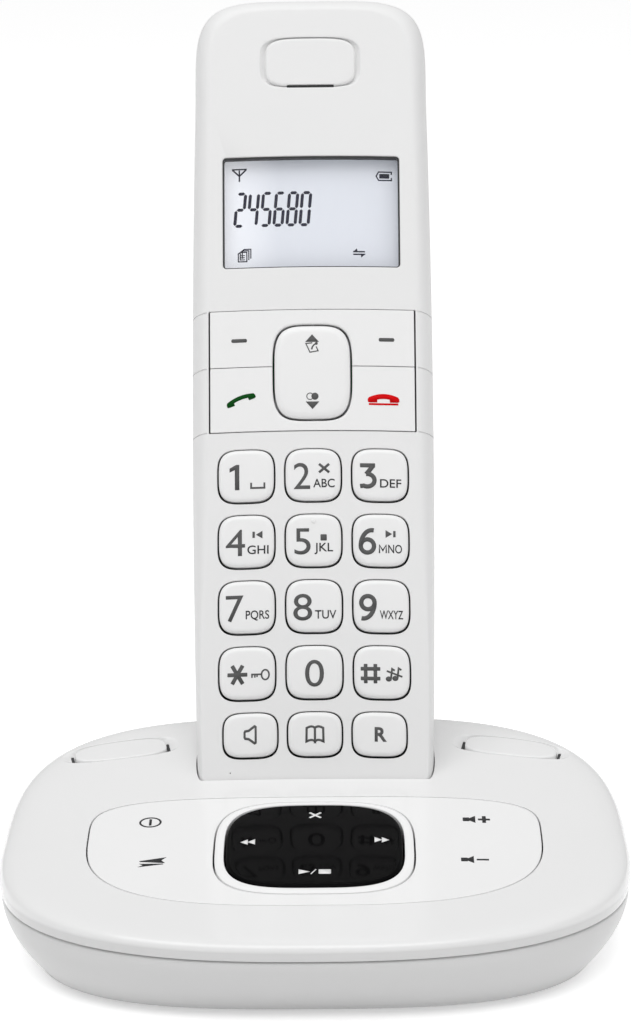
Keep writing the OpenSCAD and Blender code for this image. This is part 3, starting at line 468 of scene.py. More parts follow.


# display with painted light: pale blue with a faint glow of its own that stands in for light, stronger along
# the left edge to brighten the shade there
def displayWithPaintedGlow():
    material = grained("displayPaintedGlow", (0.70, 0.72, 0.77), 0.25, 0.35, mottle=0.03)
    nodes, link = material.node_tree.nodes, material.node_tree.links.new
    ramp = axisRamp(material, "X", paintedDisplayGlow["from"], paintedDisplayGlow["to"])
    mix = nodes.new("ShaderNodeMix")
    mix.data_type = "RGBA"
    mix.inputs["A"].default_value = paintedDisplayGlow["edge"]
    mix.inputs["B"].default_value = paintedDisplayGlow["field"]
    link(ramp.outputs[0], mix.inputs["Factor"])
    shader = nodes["Principled BSDF"]
    link(mix.outputs["Result"], shader.inputs["Emission Color"])
    shader.inputs["Emission Strength"].default_value = paintedDisplayGlow["strength"]
    return material


finishes = {
    "handset_white": grained("handsetWhite", (0.82,) * 3, 0.42, 0.50, mottle=0.02, specular=0.4),
    "base_white": baseWithPaintedLipShade(),
    # painted light: the key plate's white is made brighter than the base's, standing in for the light on its
    # upward face
    "plate_white": grained("plateWhitePaintedLight", (0.885,) * 3, **polished),
    "bezel_white": grained("bezelWhite", (0.91,) * 3, **polished),
    # painted shade: the lower shell's white is made darker than the base top's, standing in for the shade on
    # its walls
    "lower_white": grained("lowerWhitePaintedShade", (0.685,) * 3, 0.28, 0.36, mottle=0.02),
    "key_white": grained("keyWhite", (0.86,) * 3, 0.34, 0.42, mottle=0.015, fine=3200),
    "pad_black": grained("padBlack", (0.003, 0.003, 0.0032), 0.04, 0.07, fine=700, relief=0.000002,
                         specular=0.015),
    "board_green": grained("boardGreen", (0.03, 0.16, 0.07), 0.35, 0.55, mottle=0.5, cloud=220,
                           relief=0.00003),
    "soft_rubber": grained("softRubber", (0.06, 0.06, 0.062), 0.6, 0.8, mottle=0.2, relief=0.00003,
                           strength=0.5),
    "steel": grained("steelStamped", (0.60, 0.60, 0.62), 0.22, 0.38, mottle=0.15, cloud=300, metal=1),
    "dark_plastic": grained("darkPlastic", (0.025, 0.025, 0.027), 0.42, 0.55, mottle=0.2, relief=0.00002),
    "cell_wrap": grained("cellWrap", (0.05, 0.22, 0.12), 0.2, 0.32, mottle=0.3, cloud=90),
    "display_blue": grained("displayBody", (0.62, 0.66, 0.72), 0.3, 0.42, mottle=0.04),
    "lens_clear": clearWindow(),
}
inks = {
    "grey": grained("inkGrey", (0.105,) * 3, 0.45, 0.55, mottle=0.1, specular=0.12),
    "dark": grained("inkDark", (0.034, 0.034, 0.036), 0.45, 0.55, mottle=0.1, specular=0.12),
    "green": grained("inkGreen", (0.0008, 0.06, 0.005), 0.4, 0.5, mottle=0.1, specular=0.08),
    "red": grained("inkRed", (0.66, 0.001, 0.003), 0.4, 0.5, mottle=0.1, specular=0.08),
    "white": grained("inkWhite", (0.86,) * 3, 0.4, 0.5, mottle=0.02),
    "liquid": grained("inkLiquid", (0.003, 0.002, 0.022), 0.3, 0.4, mottle=0.1, specular=0.04),
}
displayPaintedGlow = displayWithPaintedGlow()
print("materials:", len(bpy.data.materials))


outlineSteps = {"corner": 8, "sill": 7, "side": 56, "head": 34}


# outline of the handset from the middle of its foot, up the right side, over the head and down the left
def handsetOutline():
    corner, headV = handset["footCorner"], handset["length"] - handset["headHeight"]
    angle = np.radians(np.linspace(-90, 0, outlineSteps["corner"]))
    foot = np.stack([sideX(0) + corner * (np.cos(angle) - 1), corner * (1 + np.sin(angle))], -1)
    along = np.linspace(0, foot[0, 0], outlineSteps["sill"])[:-1]
    sill = np.stack([along, np.zeros(len(along))], -1)
    v = np.linspace(corner, headV, outlineSteps["side"])[1:-1]
    side = np.stack([sideX(v), v], -1)
    t = (1 - np.cos(np.linspace(0, np.pi, outlineSteps["head"]))) * np.pi / 4
    root = 2 / handset["headPower"]
    head = np.stack([sideX(headV) * np.cos(t) ** root, headV + handset["headHeight"] * np.sin(t) ** root], -1)
    head[-1, 0] = 0
    right = np.concatenate([sill, foot, side, head])
    left = right[-2:0:-1] * np.array([-1, 1])
    return np.concatenate([right, left])


handsetLine = handsetOutline()


# handset outline drawn in by an inset, at a given height
def handsetRing(inset, z):
    middle = handset["length"] / 2
    x = handsetLine[:, 0] * (1 - 2 * inset / handset["width"])
    v = middle + (handsetLine[:, 1] - middle) * (1 - 2 * inset / handset["length"])
    return np.stack([x, v, np.full(len(x), z)], -1)


# smooth step from 0 to 1 between two heights
def easeBetween(low, high, v):
    t = np.clip((v - low) / (high - low), 0, 1)
    return t * t * (3 - 2 * t)


# width of the rounded front edge: narrow over the cradle's mouth, full inside it and from the bars up
def edgeInset(v):
    narrow = easeBetween(*handset["edgeIn"], v) - easeBetween(*handset["edgeOut"], v)
    return handset["edgeInset"] * (1 - handset["edgeLess"] * narrow)


# rings of the front half: a quarter ellipse from the flat face to the seam
def frontRings(wall, steps, chamfer):
    angle = np.linspace(np.pi / 2, 0, steps)
    deep = handset["split"] - wall - chamfer
    across = edgeInset(handsetLine[:, 1])
    rings = [handsetRing(wall + across * (1 - np.cos(a)), -wall - deep * (1 - np.sin(a))) for a in angle]
    return rings + ([handsetRing(wall + chamfer, -handset["split"])] if chamfer else [])


# rings of the back half: a superellipse round-over from the seam, then inwards to the spine
def rearRings(wall, steps, chamfer):
    angle = np.linspace(0, np.pi / 2, steps)
    root = 2 / handset["rearPower"]
    insets = [handset["rearRound"] * (1 - np.cos(a) ** root) for a in angle]
    shares = [np.sin(a) ** root for a in angle]
    insets += [handset["rearRound"] + s for s in handset["rearInside"]]
    shares += [1] * len(handset["rearInside"])
    rings = [handsetRing(wall + chamfer, -handset["split"])] if chamfer else []
    for inset, share in zip(insets, shares):
        ring = handsetRing(inset + wall, 0)
        top = handset["split"] + chamfer
        ring[:, 2] = -top - (thickAt(ring[:, 1]) - wall - top) * share
        rings.append(ring)
    return rings


keys = {
    "names": [["key_1", "key_2", "key_3"], ["key_4", "key_5", "key_6"], ["key_7", "key_8", "key_9"],
              ["key_star", "key_0", "key_hash"], ["key_speaker", "key_book", "key_r"]],
    "width": 11.45, "height": 10.8, "lowWidth": 11, "lowHeight": 9, "power": 3.6, "points": 88,
    "columnPitch": 13.9, "lowPitch": 13.3, "rowPitch": 13.7, "firstRow": 71.9, "lowRow": 18,
    "gap": 0.34, "rim": 0.2, "proud": 0.8, "crown": 0.1, "edge": (0.95, 0.8), "raised": 0.12, "bottom": 2.25,
}
bars = {"width": 42.65, "low": 81.4, "high": 106.9, "split": 94.95, "splitGap": 0.08, "gaps": (0.33, 0.16),
        "corner": 0.15, "cornerSteps": 4, "rim": 0.1, "proud": 0.2, "bottom": 2.4, "edge": 0.1}
grooves = {"from": 85, "drop": 0.6, "width": 0.26, "depth": 0.22, "out": 0.6, "steps": 18}
rocker = {"width": 15.8, "height": 19.6, "power": 3.9, "v": 93.6, "gap": 0.42, "rim": 0.4, "proud": 1.1,
          "bottom": 1.2, "crown": 0.14, "edge": (1.5, 0.95), "points": 96,
          "fill": (0.05, 0.2, 0.4, 0.6, 0.78, 0.92)}
window = {"width": 37.2, "height": 23.8, "v": 127.963, "corner": 0.8, "rim": 0.25}
earpiece = {"width": 19, "height": 10.4, "power": 4.2, "v": 160.122, "gap": 0.25, "scoop": 1.1, "recess": 1,
            "proud": 0.15, "crown": 0.12, "edge": (0.55, 0.5), "slit": (10, 0.6), "points": 88}
mouthHole = {"at": (-17.5, 10.5), "radius": 0.13, "rim": 0.06, "points": 24}
frontShell = {"steps": 20, "chamfer": 0.14, "through": -8, "splits": 6}
flatFront, barTop = level(0), level(bars["proud"])
earScoop = [(0.38, 3), (0.38, 0.03), (0.34, 0), (0.12, -0.02), (0, -0.08), (-0.16, -0.3), (-0.4, -0.55),
            (-0.66, -0.8), (-0.88, -0.94), (-1.1, -1)]


# where a key lies and its size: column from the left and row from the top, with the lowest row a little
# closer together and smaller
def keyPlace(row, column):
    low = row == 4
    x = (column - 1) * (keys["lowPitch"] if low else keys["columnPitch"])
    v = keys["lowRow"] if low else keys["firstRow"] - row * keys["rowPitch"]
    return x, v, keys["lowWidth"] if low else keys["width"], keys["lowHeight"] if low else keys["height"]


# rule for a key's outline, moved up by a distance
def keyOutline(row, column, raised=0):
    x, v, width, height = keyPlace(row, column)
    return squircleRule(width, height, keys["power"], keys["points"], (x, v + raised))


# rule for an oval piece on the middle line of the front
def ovalRule(oval):
    return squircleRule(oval["width"], oval["height"], oval["power"], oval["points"], (0, oval["v"]))


# rule for a key bar, or for both together, between two heights
def barRule(width, low, high):
    return rectRule(width, high - low, bars["corner"], (0, (low + high) / 2), bars["cornerSteps"],
                    frontShell["splits"])


# cutter through the front with a rounded rim
def frontCut(outline, gap, rim):
    return pillow(outline, roundRim(gap, rim) + [(gap, frontShell["through"])], flatFront, onFront)


# slot under the earpiece, wider by a distance over the face
def slitCut(wider):
    return pillow(slitOutline, [(wider, 1), (0, -0.6), (0, frontShell["through"])], flatFront, onFront)


rockerOutline, earOutline = ovalRule(rocker), ovalRule(earpiece)
slitWidth, slitHeight = earpiece["slit"]
slitOutline = rectRule(slitWidth, slitHeight, slotCorner(slitHeight),
                       (0, earpiece["v"] - earpiece["height"] / 2 - earpiece["gap"] + slitHeight / 2))
windowCuts = [frontCut(keyOutline(row, column), keys["gap"], keys["rim"])
              for row in range(5) for column in range(3)]
besideBars, overBars = bars["gaps"]
windowCuts += [
    frontCut(barRule(bars["width"] + 2 * besideBars, bars["low"] - overBars, bars["high"] + overBars),
             0, bars["rim"]),
    frontCut(rectRule(window["width"], window["height"], window["corner"], (0, window["v"]),
                      pieces=frontShell["splits"]), 0, window["rim"]),
    frontCut(circleRule(mouthHole["radius"], mouthHole["points"], mouthHole["at"]), 0, mouthHole["rim"]),
    pillow(scoopRule(earpiece, (0, earpiece["v"])), earScoop, flatFront, onFront),
]
front = looseObject("handsetFront", ringSkin(onHandset(np.array(
    frontRings(0, frontShell["steps"], frontShell["chamfer"])
    + frontRings(handset["wall"], frontShell["steps"], 0)[::-1]))))


# groove from a corner of the bar window over the rounded edge: a thin bar swept along the quarter ellipse
# of the edge, on its normal, and falling towards the seam
def grooveCutter(side, v):
    angle = np.linspace(math.radians(grooves["from"]), -0.05, grooves["steps"])
    share = 1 - 2 * angle / np.pi
    deep = handset["split"] - frontShell["chamfer"]
    squeeze = 2 * sideX(v) / handset["width"]
    x = sideX(v) - squeeze * handset["edgeInset"] * (1 - np.cos(angle))
    z = -deep * (1 - np.sin(angle))
    normal = np.stack([deep * np.cos(angle), squeeze * handset["edgeInset"] * np.sin(angle)], -1)
    normal /= np.linalg.norm(normal, axis=1)[:, None]
    along = v - rowFall(x) - grooves["drop"] * share
    half, out, down = grooves["width"] / 2, grooves["out"], -grooves["depth"]
    rings = np.stack([np.stack([x + normal[:, 0] * lift, along + across, z + normal[:, 1] * lift], -1)
                      for lift, across in ((out, -half), (out, half), (down, half), (down, -half))], 1)
    return ringSkin(onHandset(rings if side > 0 else (rings * np.array([-1, 1, 1]))[:, ::-1]))


windowCuts += [grooveCutter(side, v) for side in sides for v in (bars["low"], bars["split"], bars["high"])]
carve(front, slitCut(0.12))
carve(front, joined(windowCuts))
finished(front, finishes["handset_white"], "handset", ["handset_front_shell"], "handset_white")
print("handset front:", len(front.data.polygons), "faces")

rearShell = {"steps": 22, "chamfer": 0.14, "straight": 7}
door = {"width": 36, "low": 33, "high": 91.5, "corner": 2.5, "gap": 0.25, "edge": 0.22, "points": 9,
        "deep": -6, "ribs": 4, "ribV": 82, "ribPitch": 2.2, "ribSize": (13, 1.0, 0.3),
        "fill": (0.05, 0.2, 0.35, 0.5, 0.65, 0.8, 0.92)}
grille = {"v": 130, "width": 1.2, "pitch": 2.6, "length": 9.6, "shorter": 1.2, "rim": 0.15, "deep": -9}
handsetScrews = {"at": [(-17, 148.46), (17, 148.46), (-8, 7.5), (8, 7.5)], "radius": 2.25, "rim": 0.2,
                 "deep": -12, "points": 40}
contacts = {"x": 9, "width": 5, "near": 9.7, "far": 14.7, "up": 2.8, "down": -3, "corner": 0.6}
# the door's outline is the same seen from behind
doorOutline = rectRule(door["width"], door["high"] - door["low"], door["corner"],
                       (0, (door["low"] + door["high"]) / 2), door["points"])


# cutter into the back with a rounded rim
def rearCut(outline, gap, rim, deep, shares=plainFill):
    return pillow(outline, roundRim(gap, rim) + [(gap, deep)], rearDepth, onRear, shares)


rearCuts = [rearCut(doorOutline, door["gap"], door["edge"], door["deep"], cutFill)]
for k in range(-2, 3):
    length, width = grille["length"] - abs(k) * grille["shorter"], grille["width"]
    slot = rectRule(length, width, slotCorner(width), (0, grille["v"] + k * grille["pitch"]))
    rearCuts.append(rearCut(slot, 0, grille["rim"], grille["deep"]))
for at in handsetScrews["at"]:
    hole = circleRule(handsetScrews["radius"], handsetScrews["points"], at)
    rearCuts.append(rearCut(hole, 0, handsetScrews["rim"], handsetScrews["deep"]))
for side in sides:
    cut = roundedRect(contacts["width"], contacts["far"] - contacts["near"], contacts["corner"],
                      (side * contacts["x"], (contacts["near"] + contacts["far"]) / 2))
    rearCuts.append(alongPrism(cut * np.array([1, -1]), contacts["up"], contacts["down"]))
rear = looseObject("handsetRear", ringSkin(onHandset(np.array(
    rearRings(handset["wall"], rearShell["steps"], 0)[::-1]
    + rearRings(0, rearShell["steps"], rearShell["chamfer"]))), rearShell["straight"], rearShell["straight"]))
carve(rear, joined(rearCuts))
finished(rear, finishes["handset_white"], "handset", ["handset_rear_shell"], "handset_white")

doorProfile = roundEdge(door["edge"], door["edge"], 4) + [(0, -handset["wall"])]
doorSkins = [pillow(doorOutline, doorProfile, rearDepth, onRear, door["fill"])]
ribLong, ribWide, ribHigh = door["ribSize"]
ribProfile = [(-0.3, ribHigh), (-0.15, ribHigh * 0.85), (0, ribHigh * 0.3), (0.1, -0.2)]
for k in range(door["ribs"]):
    rib = rectRule(ribLong, ribWide, slotCorner(ribWide), (0, door["ribV"] + k * door["ribPitch"]))
    doorSkins.append(pillow(rib, ribProfile, rearDepth, onRear))
made("batteryDoor", joined(doorSkins), finishes["handset_white"], "battery_door", ["battery_door"],
     "handset_white")
print("handset back:", len(rear.data.polygons), "faces")


# key cap: a crowned top, a rounded edge and a straight skirt through its window
def keyCap(name, row, column):
    x0, v0, width, height = keyPlace(row, column)

    # top of the cap: proud of the face, falling by a parabola each way
    def crown(x, v):
        return keys["proud"] - keys["crown"] * ((2 * (x - x0) / width) ** 2 + (2 * (v - v0) / height) ** 2)

    profile = roundEdge(*keys["edge"], 9) + [(0, -keys["bottom"] - keys["proud"])]
    made(name + "_cap", pillow(keyOutline(row, column, keys["raised"]), profile, crown, onFront, capFill),
         finishes["key_white"], name, [name], "key_white")
    return crown


crowns = {name: keyCap(name, row, column) for row, names in enumerate(keys["names"])
          for column, name in enumerate(names)}


# key bar: a flat plate with a rounded rim, cut away round the rocker
def keyBar(name, low, high):
    profile = roundEdge(bars["edge"], bars["edge"], 5) + [(0, -bars["bottom"] - bars["proud"])]
    plank = looseObject(name + "_cap", pillow(barRule(bars["width"], low, high), profile, barTop, onFront))
    hole = roundRim(rocker["gap"], rocker["rim"]) + [(rocker["gap"], -5)]
    carve(plank, pillow(rockerOutline, hole, barTop, onFront))
    finished(plank, finishes["key_white"], name, [name], "key_white")


keyBar("soft_key_bar", bars["split"] + bars["splitGap"], bars["high"])
keyBar("call_key_bar", bars["low"], bars["split"] - bars["splitGap"])


# top of the rocker: proud of the face, falling by a parabola each way
def rockerTop(x, v):
    return rocker["proud"] - rocker["crown"] * ((2 * x / rocker["width"]) ** 2
                                                + (2 * (v - rocker["v"]) / rocker["height"]) ** 2)


rockerProfile = roundEdge(*rocker["edge"], 9) + [(0, -rocker["proud"] - rocker["bottom"])]
made("nav_rocker_cap", pillow(rockerOutline, rockerProfile, rockerTop, onFront, rocker["fill"]),
     finishes["key_white"], "nav_rocker", ["nav_rocker"], "key_white")


# top of the earpiece pad: level with the face, with a slight crown
def earTop(x, v):
    return earpiece["proud"] - earpiece["crown"] * (2 * x / earpiece["width"]) ** 2


earProfile = roundEdge(*earpiece["edge"]) + [(0, -earpiece["recess"] - earpiece["proud"])]
earCap = looseObject("earpiece_pad_cap", pillow(earOutline, earProfile, earTop, onFront, capFill))
carve(earCap, slitCut(0.1))
finished(earCap, finishes["handset_white"], "handset", ["earpiece_pad"], "key_white")
print("keys:", len(crowns) + 3, "moving caps")

plate = {"width": 90, "y": -5, "back": 16.3, "front": 29.2, "backPower": 4.5, "frontPower": 2.75, "thick": 2,
         "gap": 0.27, "edge": 0.14, "rim": 0.12, "points": 192}
pad = {"width": 34.9, "depth": 34.3, "power": 3.4, "y": -9.65, "gap": 0.4, "thick": 2.4, "lift": 0.3,
       "crown": 0.3, "edge": (0.6, 0.4), "fill": (0.04, 0.15, 0.3, 0.45, 0.6, 0.75, 0.88, 0.95)}
bezel = {"band": 2.55, "back": 19.6, "y": -10.2, "gap": 0.34, "edge": 0.16, "lift": 0.08, "thick": 2.6,
         "crown": 0.1}
tab = {"at": (40.85, 33.2), "turn": 10, "width": 19.2, "height": 7.4, "power": 3.2, "scoop": 2.5, "gap": 0.16,
       "depth": 1.3, "proud": 0.1, "edge": (0.45, 0.4), "slit": (0.62, 5), "slitAt": (0.45, -0.6),
       "points": 96,
       "fall": [(0.25, 3), (0.25, 0.02), (0.12, -0.02), (0, -0.06), (-0.5, -0.22), (-1.1, -0.55),
                (-1.7, -0.95), (-2.2, -1.27), (-2.5, -1.4)]}
padOutline = squircleRule(pad["width"], pad["depth"], pad["power"], plate["points"], (0, pad["y"]))
ringOutline = squircleRule(pad["width"] + 2 * bezel["band"], 2 * bezel["back"], pad["power"], plate["points"],
                           (0, bezel["y"]))


# outline of the key plate: one superellipse behind its middle line and one in front
def plateOutline(grow):
    t = np.linspace(0, 2 * np.pi, plate["points"], endpoint=False)
    behind = np.sin(t) > 0
    power = np.where(behind, plate["backPower"], plate["frontPower"])
    reach = np.where(behind, plate["back"], plate["front"]) + grow
    return np.stack([(plate["width"] / 2 + grow) * signedPower(np.cos(t), 2 / power),
                     plate["y"] + reach * signedPower(np.sin(t), 2 / power)], -1)


# rule for an outline turned and moved with a tab
def tabRule(side, flat):
    at = (side * tab["at"][0], tab["at"][1])
    return lambda grow: turned(flat(grow), -side * tab["turn"], at)


# slits beside both ends of both tabs, between the heights of a profile
def tabSlits(profile):
    width, height = tab["slit"]
    out, up = tab["slitAt"]
    flats = [rectRule(width, height, slotCorner(width), (end * (tab["width"] / 2 + out), up)) for end in sides]
    return joined([pillow(tabRule(side, flat), profile, domeHeight, onBase, slitFill)
                   for side in sides for flat in flats])


# rings of the base top: the seam outline shrunk by a radius, at the dome height less a wall
def domeRings(radii, grow, drop):
    t = np.linspace(0, 2 * np.pi, base["points"], endpoint=False)
    power = np.where(np.sin(t) < 0, base["frontPower"], base["backPower"])
    rings = []
    for r in radii:
        x = (base["width"] / 2 + grow) * r * signedPower(np.cos(t), 2 / power)
        y = (base["depth"] / 2 + grow) * r * signedPower(np.sin(t), 2 / power)
        lip = base["seam"] + base["lip"]
        rings.append(np.stack([x, y, lip + edgeShare(r, y) * (topRise(x, y) - base["lip"] - drop)], -1))
    return rings


# ring on the seam, grown by a distance
def seamRing(grow):
    ring = domeRings([1], grow, 0)[0]
    ring[:, 2] = base["seam"]
    return ring


# section of the handset foot grown by a clearance: across and outwards
def footSection(grow):
    halfWidth = sideX(handset["sink"] * 1.5) + grow
    angle = np.linspace(np.pi / 2, 0, 12)
    nearX = halfWidth - edgeInset(handset["sink"]) * (1 - np.cos(angle))
    nearZ = grow - (handset["split"] + grow) * (1 - np.sin(angle))
    root = 2 / handset["rearPower"]
    farX = halfWidth - handset["rearRound"] * (1 - np.cos(angle[::-1]) ** root)
    farZ = -handset["split"] - (handset["thick"] + grow - handset["split"]) * np.sin(angle[::-1]) ** root
    x = np.concatenate([nearX, farX[1:]])
    z = np.concatenate([nearZ, farZ[1:]])
    return np.stack([np.concatenate([x, -x[::-1]]), np.concatenate([z, z[::-1]])], -1)


topGrid = {"edge": (4, 90, 30), "outer": (0.04, 0.78, 20), "inner": (0.7, 0.05, 10), "skip": 3}
cradle = {"low": -0.25, "high": 70}
edgeAngle = np.radians(np.linspace(*topGrid["edge"]))
edgeRadii = (1 - np.cos(edgeAngle) ** base["edgeRoot"]) ** (1 / base["edgePower"])
outerRadii = np.concatenate([np.linspace(*topGrid["outer"]), edgeRadii])
innerRadii = np.concatenate([edgeRadii[::-1][::topGrid["skip"]], np.linspace(*topGrid["inner"])])
topShell = looseObject("baseTop", ringSkin(onBase(np.array(
    domeRings(outerRadii, 0, 0) + [seamRing(-base["undercut"]), seamRing(-base["wall"])]
    + domeRings(innerRadii, -base["wall"], base["wall"])))))
plateHole = roundRim(plate["gap"], plate["rim"], 6) + [(plate["gap"], -12)]
carve(topShell, pillow(plateOutline, plateHole, domeHeight, onBase, (0.1, 0.3, 0.5, 0.7, 0.9)))
carve(topShell, alongPrism(footSection(handset["dockGap"]), cradle["high"], cradle["low"]))
carve(topShell, joined([pillow(tabRule(side, scoopRule(tab)), tab["fall"], domeHeight, onBase, cutFill)
                        for side in sides]))
carve(topShell, tabSlits([(0, 2), (0, -6)]))
finished(topShell, finishes["base_white"], "base", ["base_top_shell"], "base_white", crease=32)
made("sound_slits", tabSlits([(0, -1.02), (0, -1.1), (0, -2.6)]), finishes["dark_plastic"], "base",
     slot="dark_plastic")
print("base top:", len(topShell.data.polygons), "faces")

tabProfile = roundEdge(*tab["edge"], 6) + [(0, -tab["depth"] - tab["proud"])]
tabProfile = [(grow, lift + tab["proud"]) for grow, lift in tabProfile]
tabFlat = squircleRule(tab["width"], tab["height"], tab["power"], tab["points"])
for side, name in zip(sides, ("sound_tab_left", "sound_tab_right")):
    made(name + "_cap", pillow(tabRule(side, tabFlat), tabProfile, domeHeight, onBase, capFill),
         finishes["base_white"], "base", [name], "base_white")
made("key_plate_cap", band(ringOutline, plateOutline, plate["edge"], plate["thick"], domeHeight, onBase, 22),
     finishes["plate_white"], "key_plate", ["key_plate"], "base_white", weighted=False)


# top of the bezel: the base top with a lift
def bezelHeight(x, y):
    return domeHeight(x, y) + bezel["lift"]


bezelSkin = band(lambda grow: padOutline(pad["gap"] + grow), lambda grow: ringOutline(grow - bezel["gap"]),
                 bezel["edge"], bezel["thick"], bezelHeight, onBase, 8, bezel["crown"])
made("pad_bezel_cap", bezelSkin, finishes["bezel_white"], "base", ["pad_bezel"], "base_white", weighted=False)


# top of the message pad: the base top with a lift and a slight crown
def padHeight(x, y):
    spread = (2 * x / pad["width"]) ** 2 + (2 * (y - pad["y"]) / pad["depth"]) ** 2
    return domeHeight(x, y) + pad["lift"] + pad["crown"] * (1 - spread)


padProfile = roundEdge(*pad["edge"], 10) + [(0, -pad["thick"])]
made("message_pad_cap", pillow(padOutline, padProfile, padHeight, onBase, pad["fill"]),
     finishes["pad_black"], "message_pad", ["message_pad"], "pad_black", weighted=False)
print("base controls made")

underShell = {
    "steps": 26, "edge": 1.4, "edgeHigh": 0.9, "groove": (0.9, 0.32), "shoulder": 0.7, "floorRise": 0.6,
    "screws": [(49.2, -14), (30.54, 36)], "screwRadius": 2.65, "screwSeat": 4.4, "screwPoints": 40,
    "feet": [(-38, -25), (38, -25), (-34, 27), (34, 27)], "footRadius": 5, "footGap": 0.15, "footSink": 0.6,
    "footTop": 1.55, "footPoints": 64, "under": -2,
    "footProfile": [(-0.3, 0), (0, -0.3), (0, -1.1), (-0.15, -1.4), (-0.45, -1.55)],
}
# each cut of a socket: how much wider it is, where it starts and ends along the socket, its lowest height
sockets = {"power": 2.9, "x": 46.74, "turn": 34, "inward": 5.4, "width": 12, "corner": 0.5, "high": 18,
           "cuts": [(1.6, 0, 22, -3), (0.2, -10.6, 5, 3.1)]}


# ring of the lower shell: the seam outline drawn in by a power of w and squared off, w from the seam to the
# underside
def underRing(w, grow, z):
    t = np.linspace(0, 2 * np.pi, base["points"], endpoint=False)
    power = np.where(np.sin(t) < 0, base["frontPower"], base["backPower"]) * (1 - w) + base["underPower"] * w
    inset = base["underInset"] * w ** base["underBend"] + base["reveal"] - grow
    x = (base["width"] / 2 - inset) * signedPower(np.cos(t), 2 / power)
    y = (base["depth"] / 2 - inset) * signedPower(np.sin(t), 2 / power)
    return np.stack([x, y, np.full(len(t), z)], -1)


# box in front of a socket, turned with it: across, outwards and up
def socketBox(side, across, near, far, low):
    power = sockets["power"]
    back = base["depth"] / 2 * (1 - (sockets["x"] / (base["width"] / 2)) ** power) ** (1 / power)
    flat = roundedRect(across, far - near, sockets["corner"], (0, (near + far) / 2 - sockets["inward"]), 4)
    outline = turned(flat, -side * sockets["turn"], (side * sockets["x"], back))
    return uprightPrism(outline, sockets["high"], low)


floorZ = base["foot"] + base["wall"]
downShares = np.linspace(0, 1, underShell["steps"])
bend = np.linspace(0, np.pi / 2, 6)
grooveIn, grooveDown = underShell["groove"]
shoulder, edgeHigh = underShell["shoulder"], underShell["edgeHigh"]
lipZ = base["seam"] - grooveDown
wallTop, wallFoot = lipZ - shoulder, base["foot"] + edgeHigh
underOuter = [underRing(0, -grooveIn, base["seam"]), underRing(0, -grooveIn, lipZ)]
underOuter += [underRing(0, shoulder * (np.sin(a) - 1), lipZ - shoulder * (1 - np.cos(a))) for a in bend[:-1]]
underOuter += [underRing(w, 0, wallTop - (wallTop - wallFoot) * w) for w in downShares]
underOuter += [underRing(1, -underShell["edge"] * (1 - np.cos(a)), base["foot"] + edgeHigh * (1 - np.sin(a)))
               for a in bend[1:]]
innerDrop = base["seam"] - floorZ - underShell["floorRise"]
underInner = [underRing(1, -base["wall"] - 2 * underShell["edge"], floorZ)]
underInner += [underRing(w, -base["wall"], base["seam"] - innerDrop * w) for w in downShares[::-1]]
lowerShell = looseObject("baseBottom", ringSkin(onBase(np.array(underInner + underOuter))))
footRules = [circleRule(underShell["footRadius"], underShell["footPoints"], at) for at in underShell["feet"]]
footSeat = base["foot"] + underShell["footSink"]
underCuts = [uprightPrism(foot(underShell["footGap"]), footSeat, underShell["under"]) for foot in footRules]
for x, y in underShell["screws"]:
    for side in sides:
        hole = circleRule(underShell["screwRadius"], underShell["screwPoints"], (side * x, y))
        underCuts.append(uprightPrism(hole(0), underShell["screwSeat"], underShell["under"]))
carve(lowerShell, joined(underCuts))
for side in sides:
    for wider, near, far, low in sockets["cuts"]:
        carve(lowerShell, socketBox(side, sockets["width"] + wider, near, far, low))
finished(lowerShell, finishes["lower_white"], "base", ["base_bottom_shell"], "lower_white", crease=32)
footTop = level(underShell["footTop"])
made("base_feet_pads", joined([pillow(foot, underShell["footProfile"], footTop, onBase, slitFill)
                               for foot in footRules]),
     finishes["soft_rubber"], "base", ["base_feet"], "soft_rubber")
print("base bottom:", len(lowerShell.data.polygons), "faces")


# marks: flat shapes drawn in millimetres about a point, then laid on a surface as thin prints


# a line of points widened to a ribbon, with mitred corners
def stroke(path, width, closed=False):
    path = np.asarray(path, float)
    step = np.diff(np.concatenate([path, path[:1]]) if closed else path, axis=0)
    normal = np.stack([-step[:, 1], step[:, 0]], -1) / np.linalg.norm(step, axis=1)[:, None]
    before = np.roll(normal, 1, 0) if closed else np.concatenate([normal[:1], normal])
    after = normal if closed else np.concatenate([normal, normal[-1:]])
    mitre = (before + after) / np.maximum(1 + (before * after).sum(1), 0.35)[:, None]
    points = np.concatenate([path + mitre * width / 2, path - mitre * width / 2])
    count = len(path)
    i = np.arange(count if closed else count - 1)
    j = (i + 1) % count
    return points, np.stack([i, i + count, j + count, j], -1).tolist()


# filled polygon
def patch(outline):
    outline = np.asarray(outline, float)
    area = np.sum(outline[:, 0] * np.roll(outline[:, 1], -1) - outline[:, 1] * np.roll(outline[:, 0], -1))
    ring = list(range(len(outline)))
    return outline, [ring if area > 0 else ring[::-1]]


# filled ellipse, or a ring of one
def disc(radius, at=(0, 0), tall=1, line=0):
    rim = squircle(2 * radius, 2 * radius * tall, 2, 40, at)
    return stroke(rim, line, True) if line else patch(rim)


# shape scaled, turned and moved
def shifted(shape, at, scale=(1, 1), turn=0):
    return turned(shape[0] * np.array(scale), turn, at), shape[1]


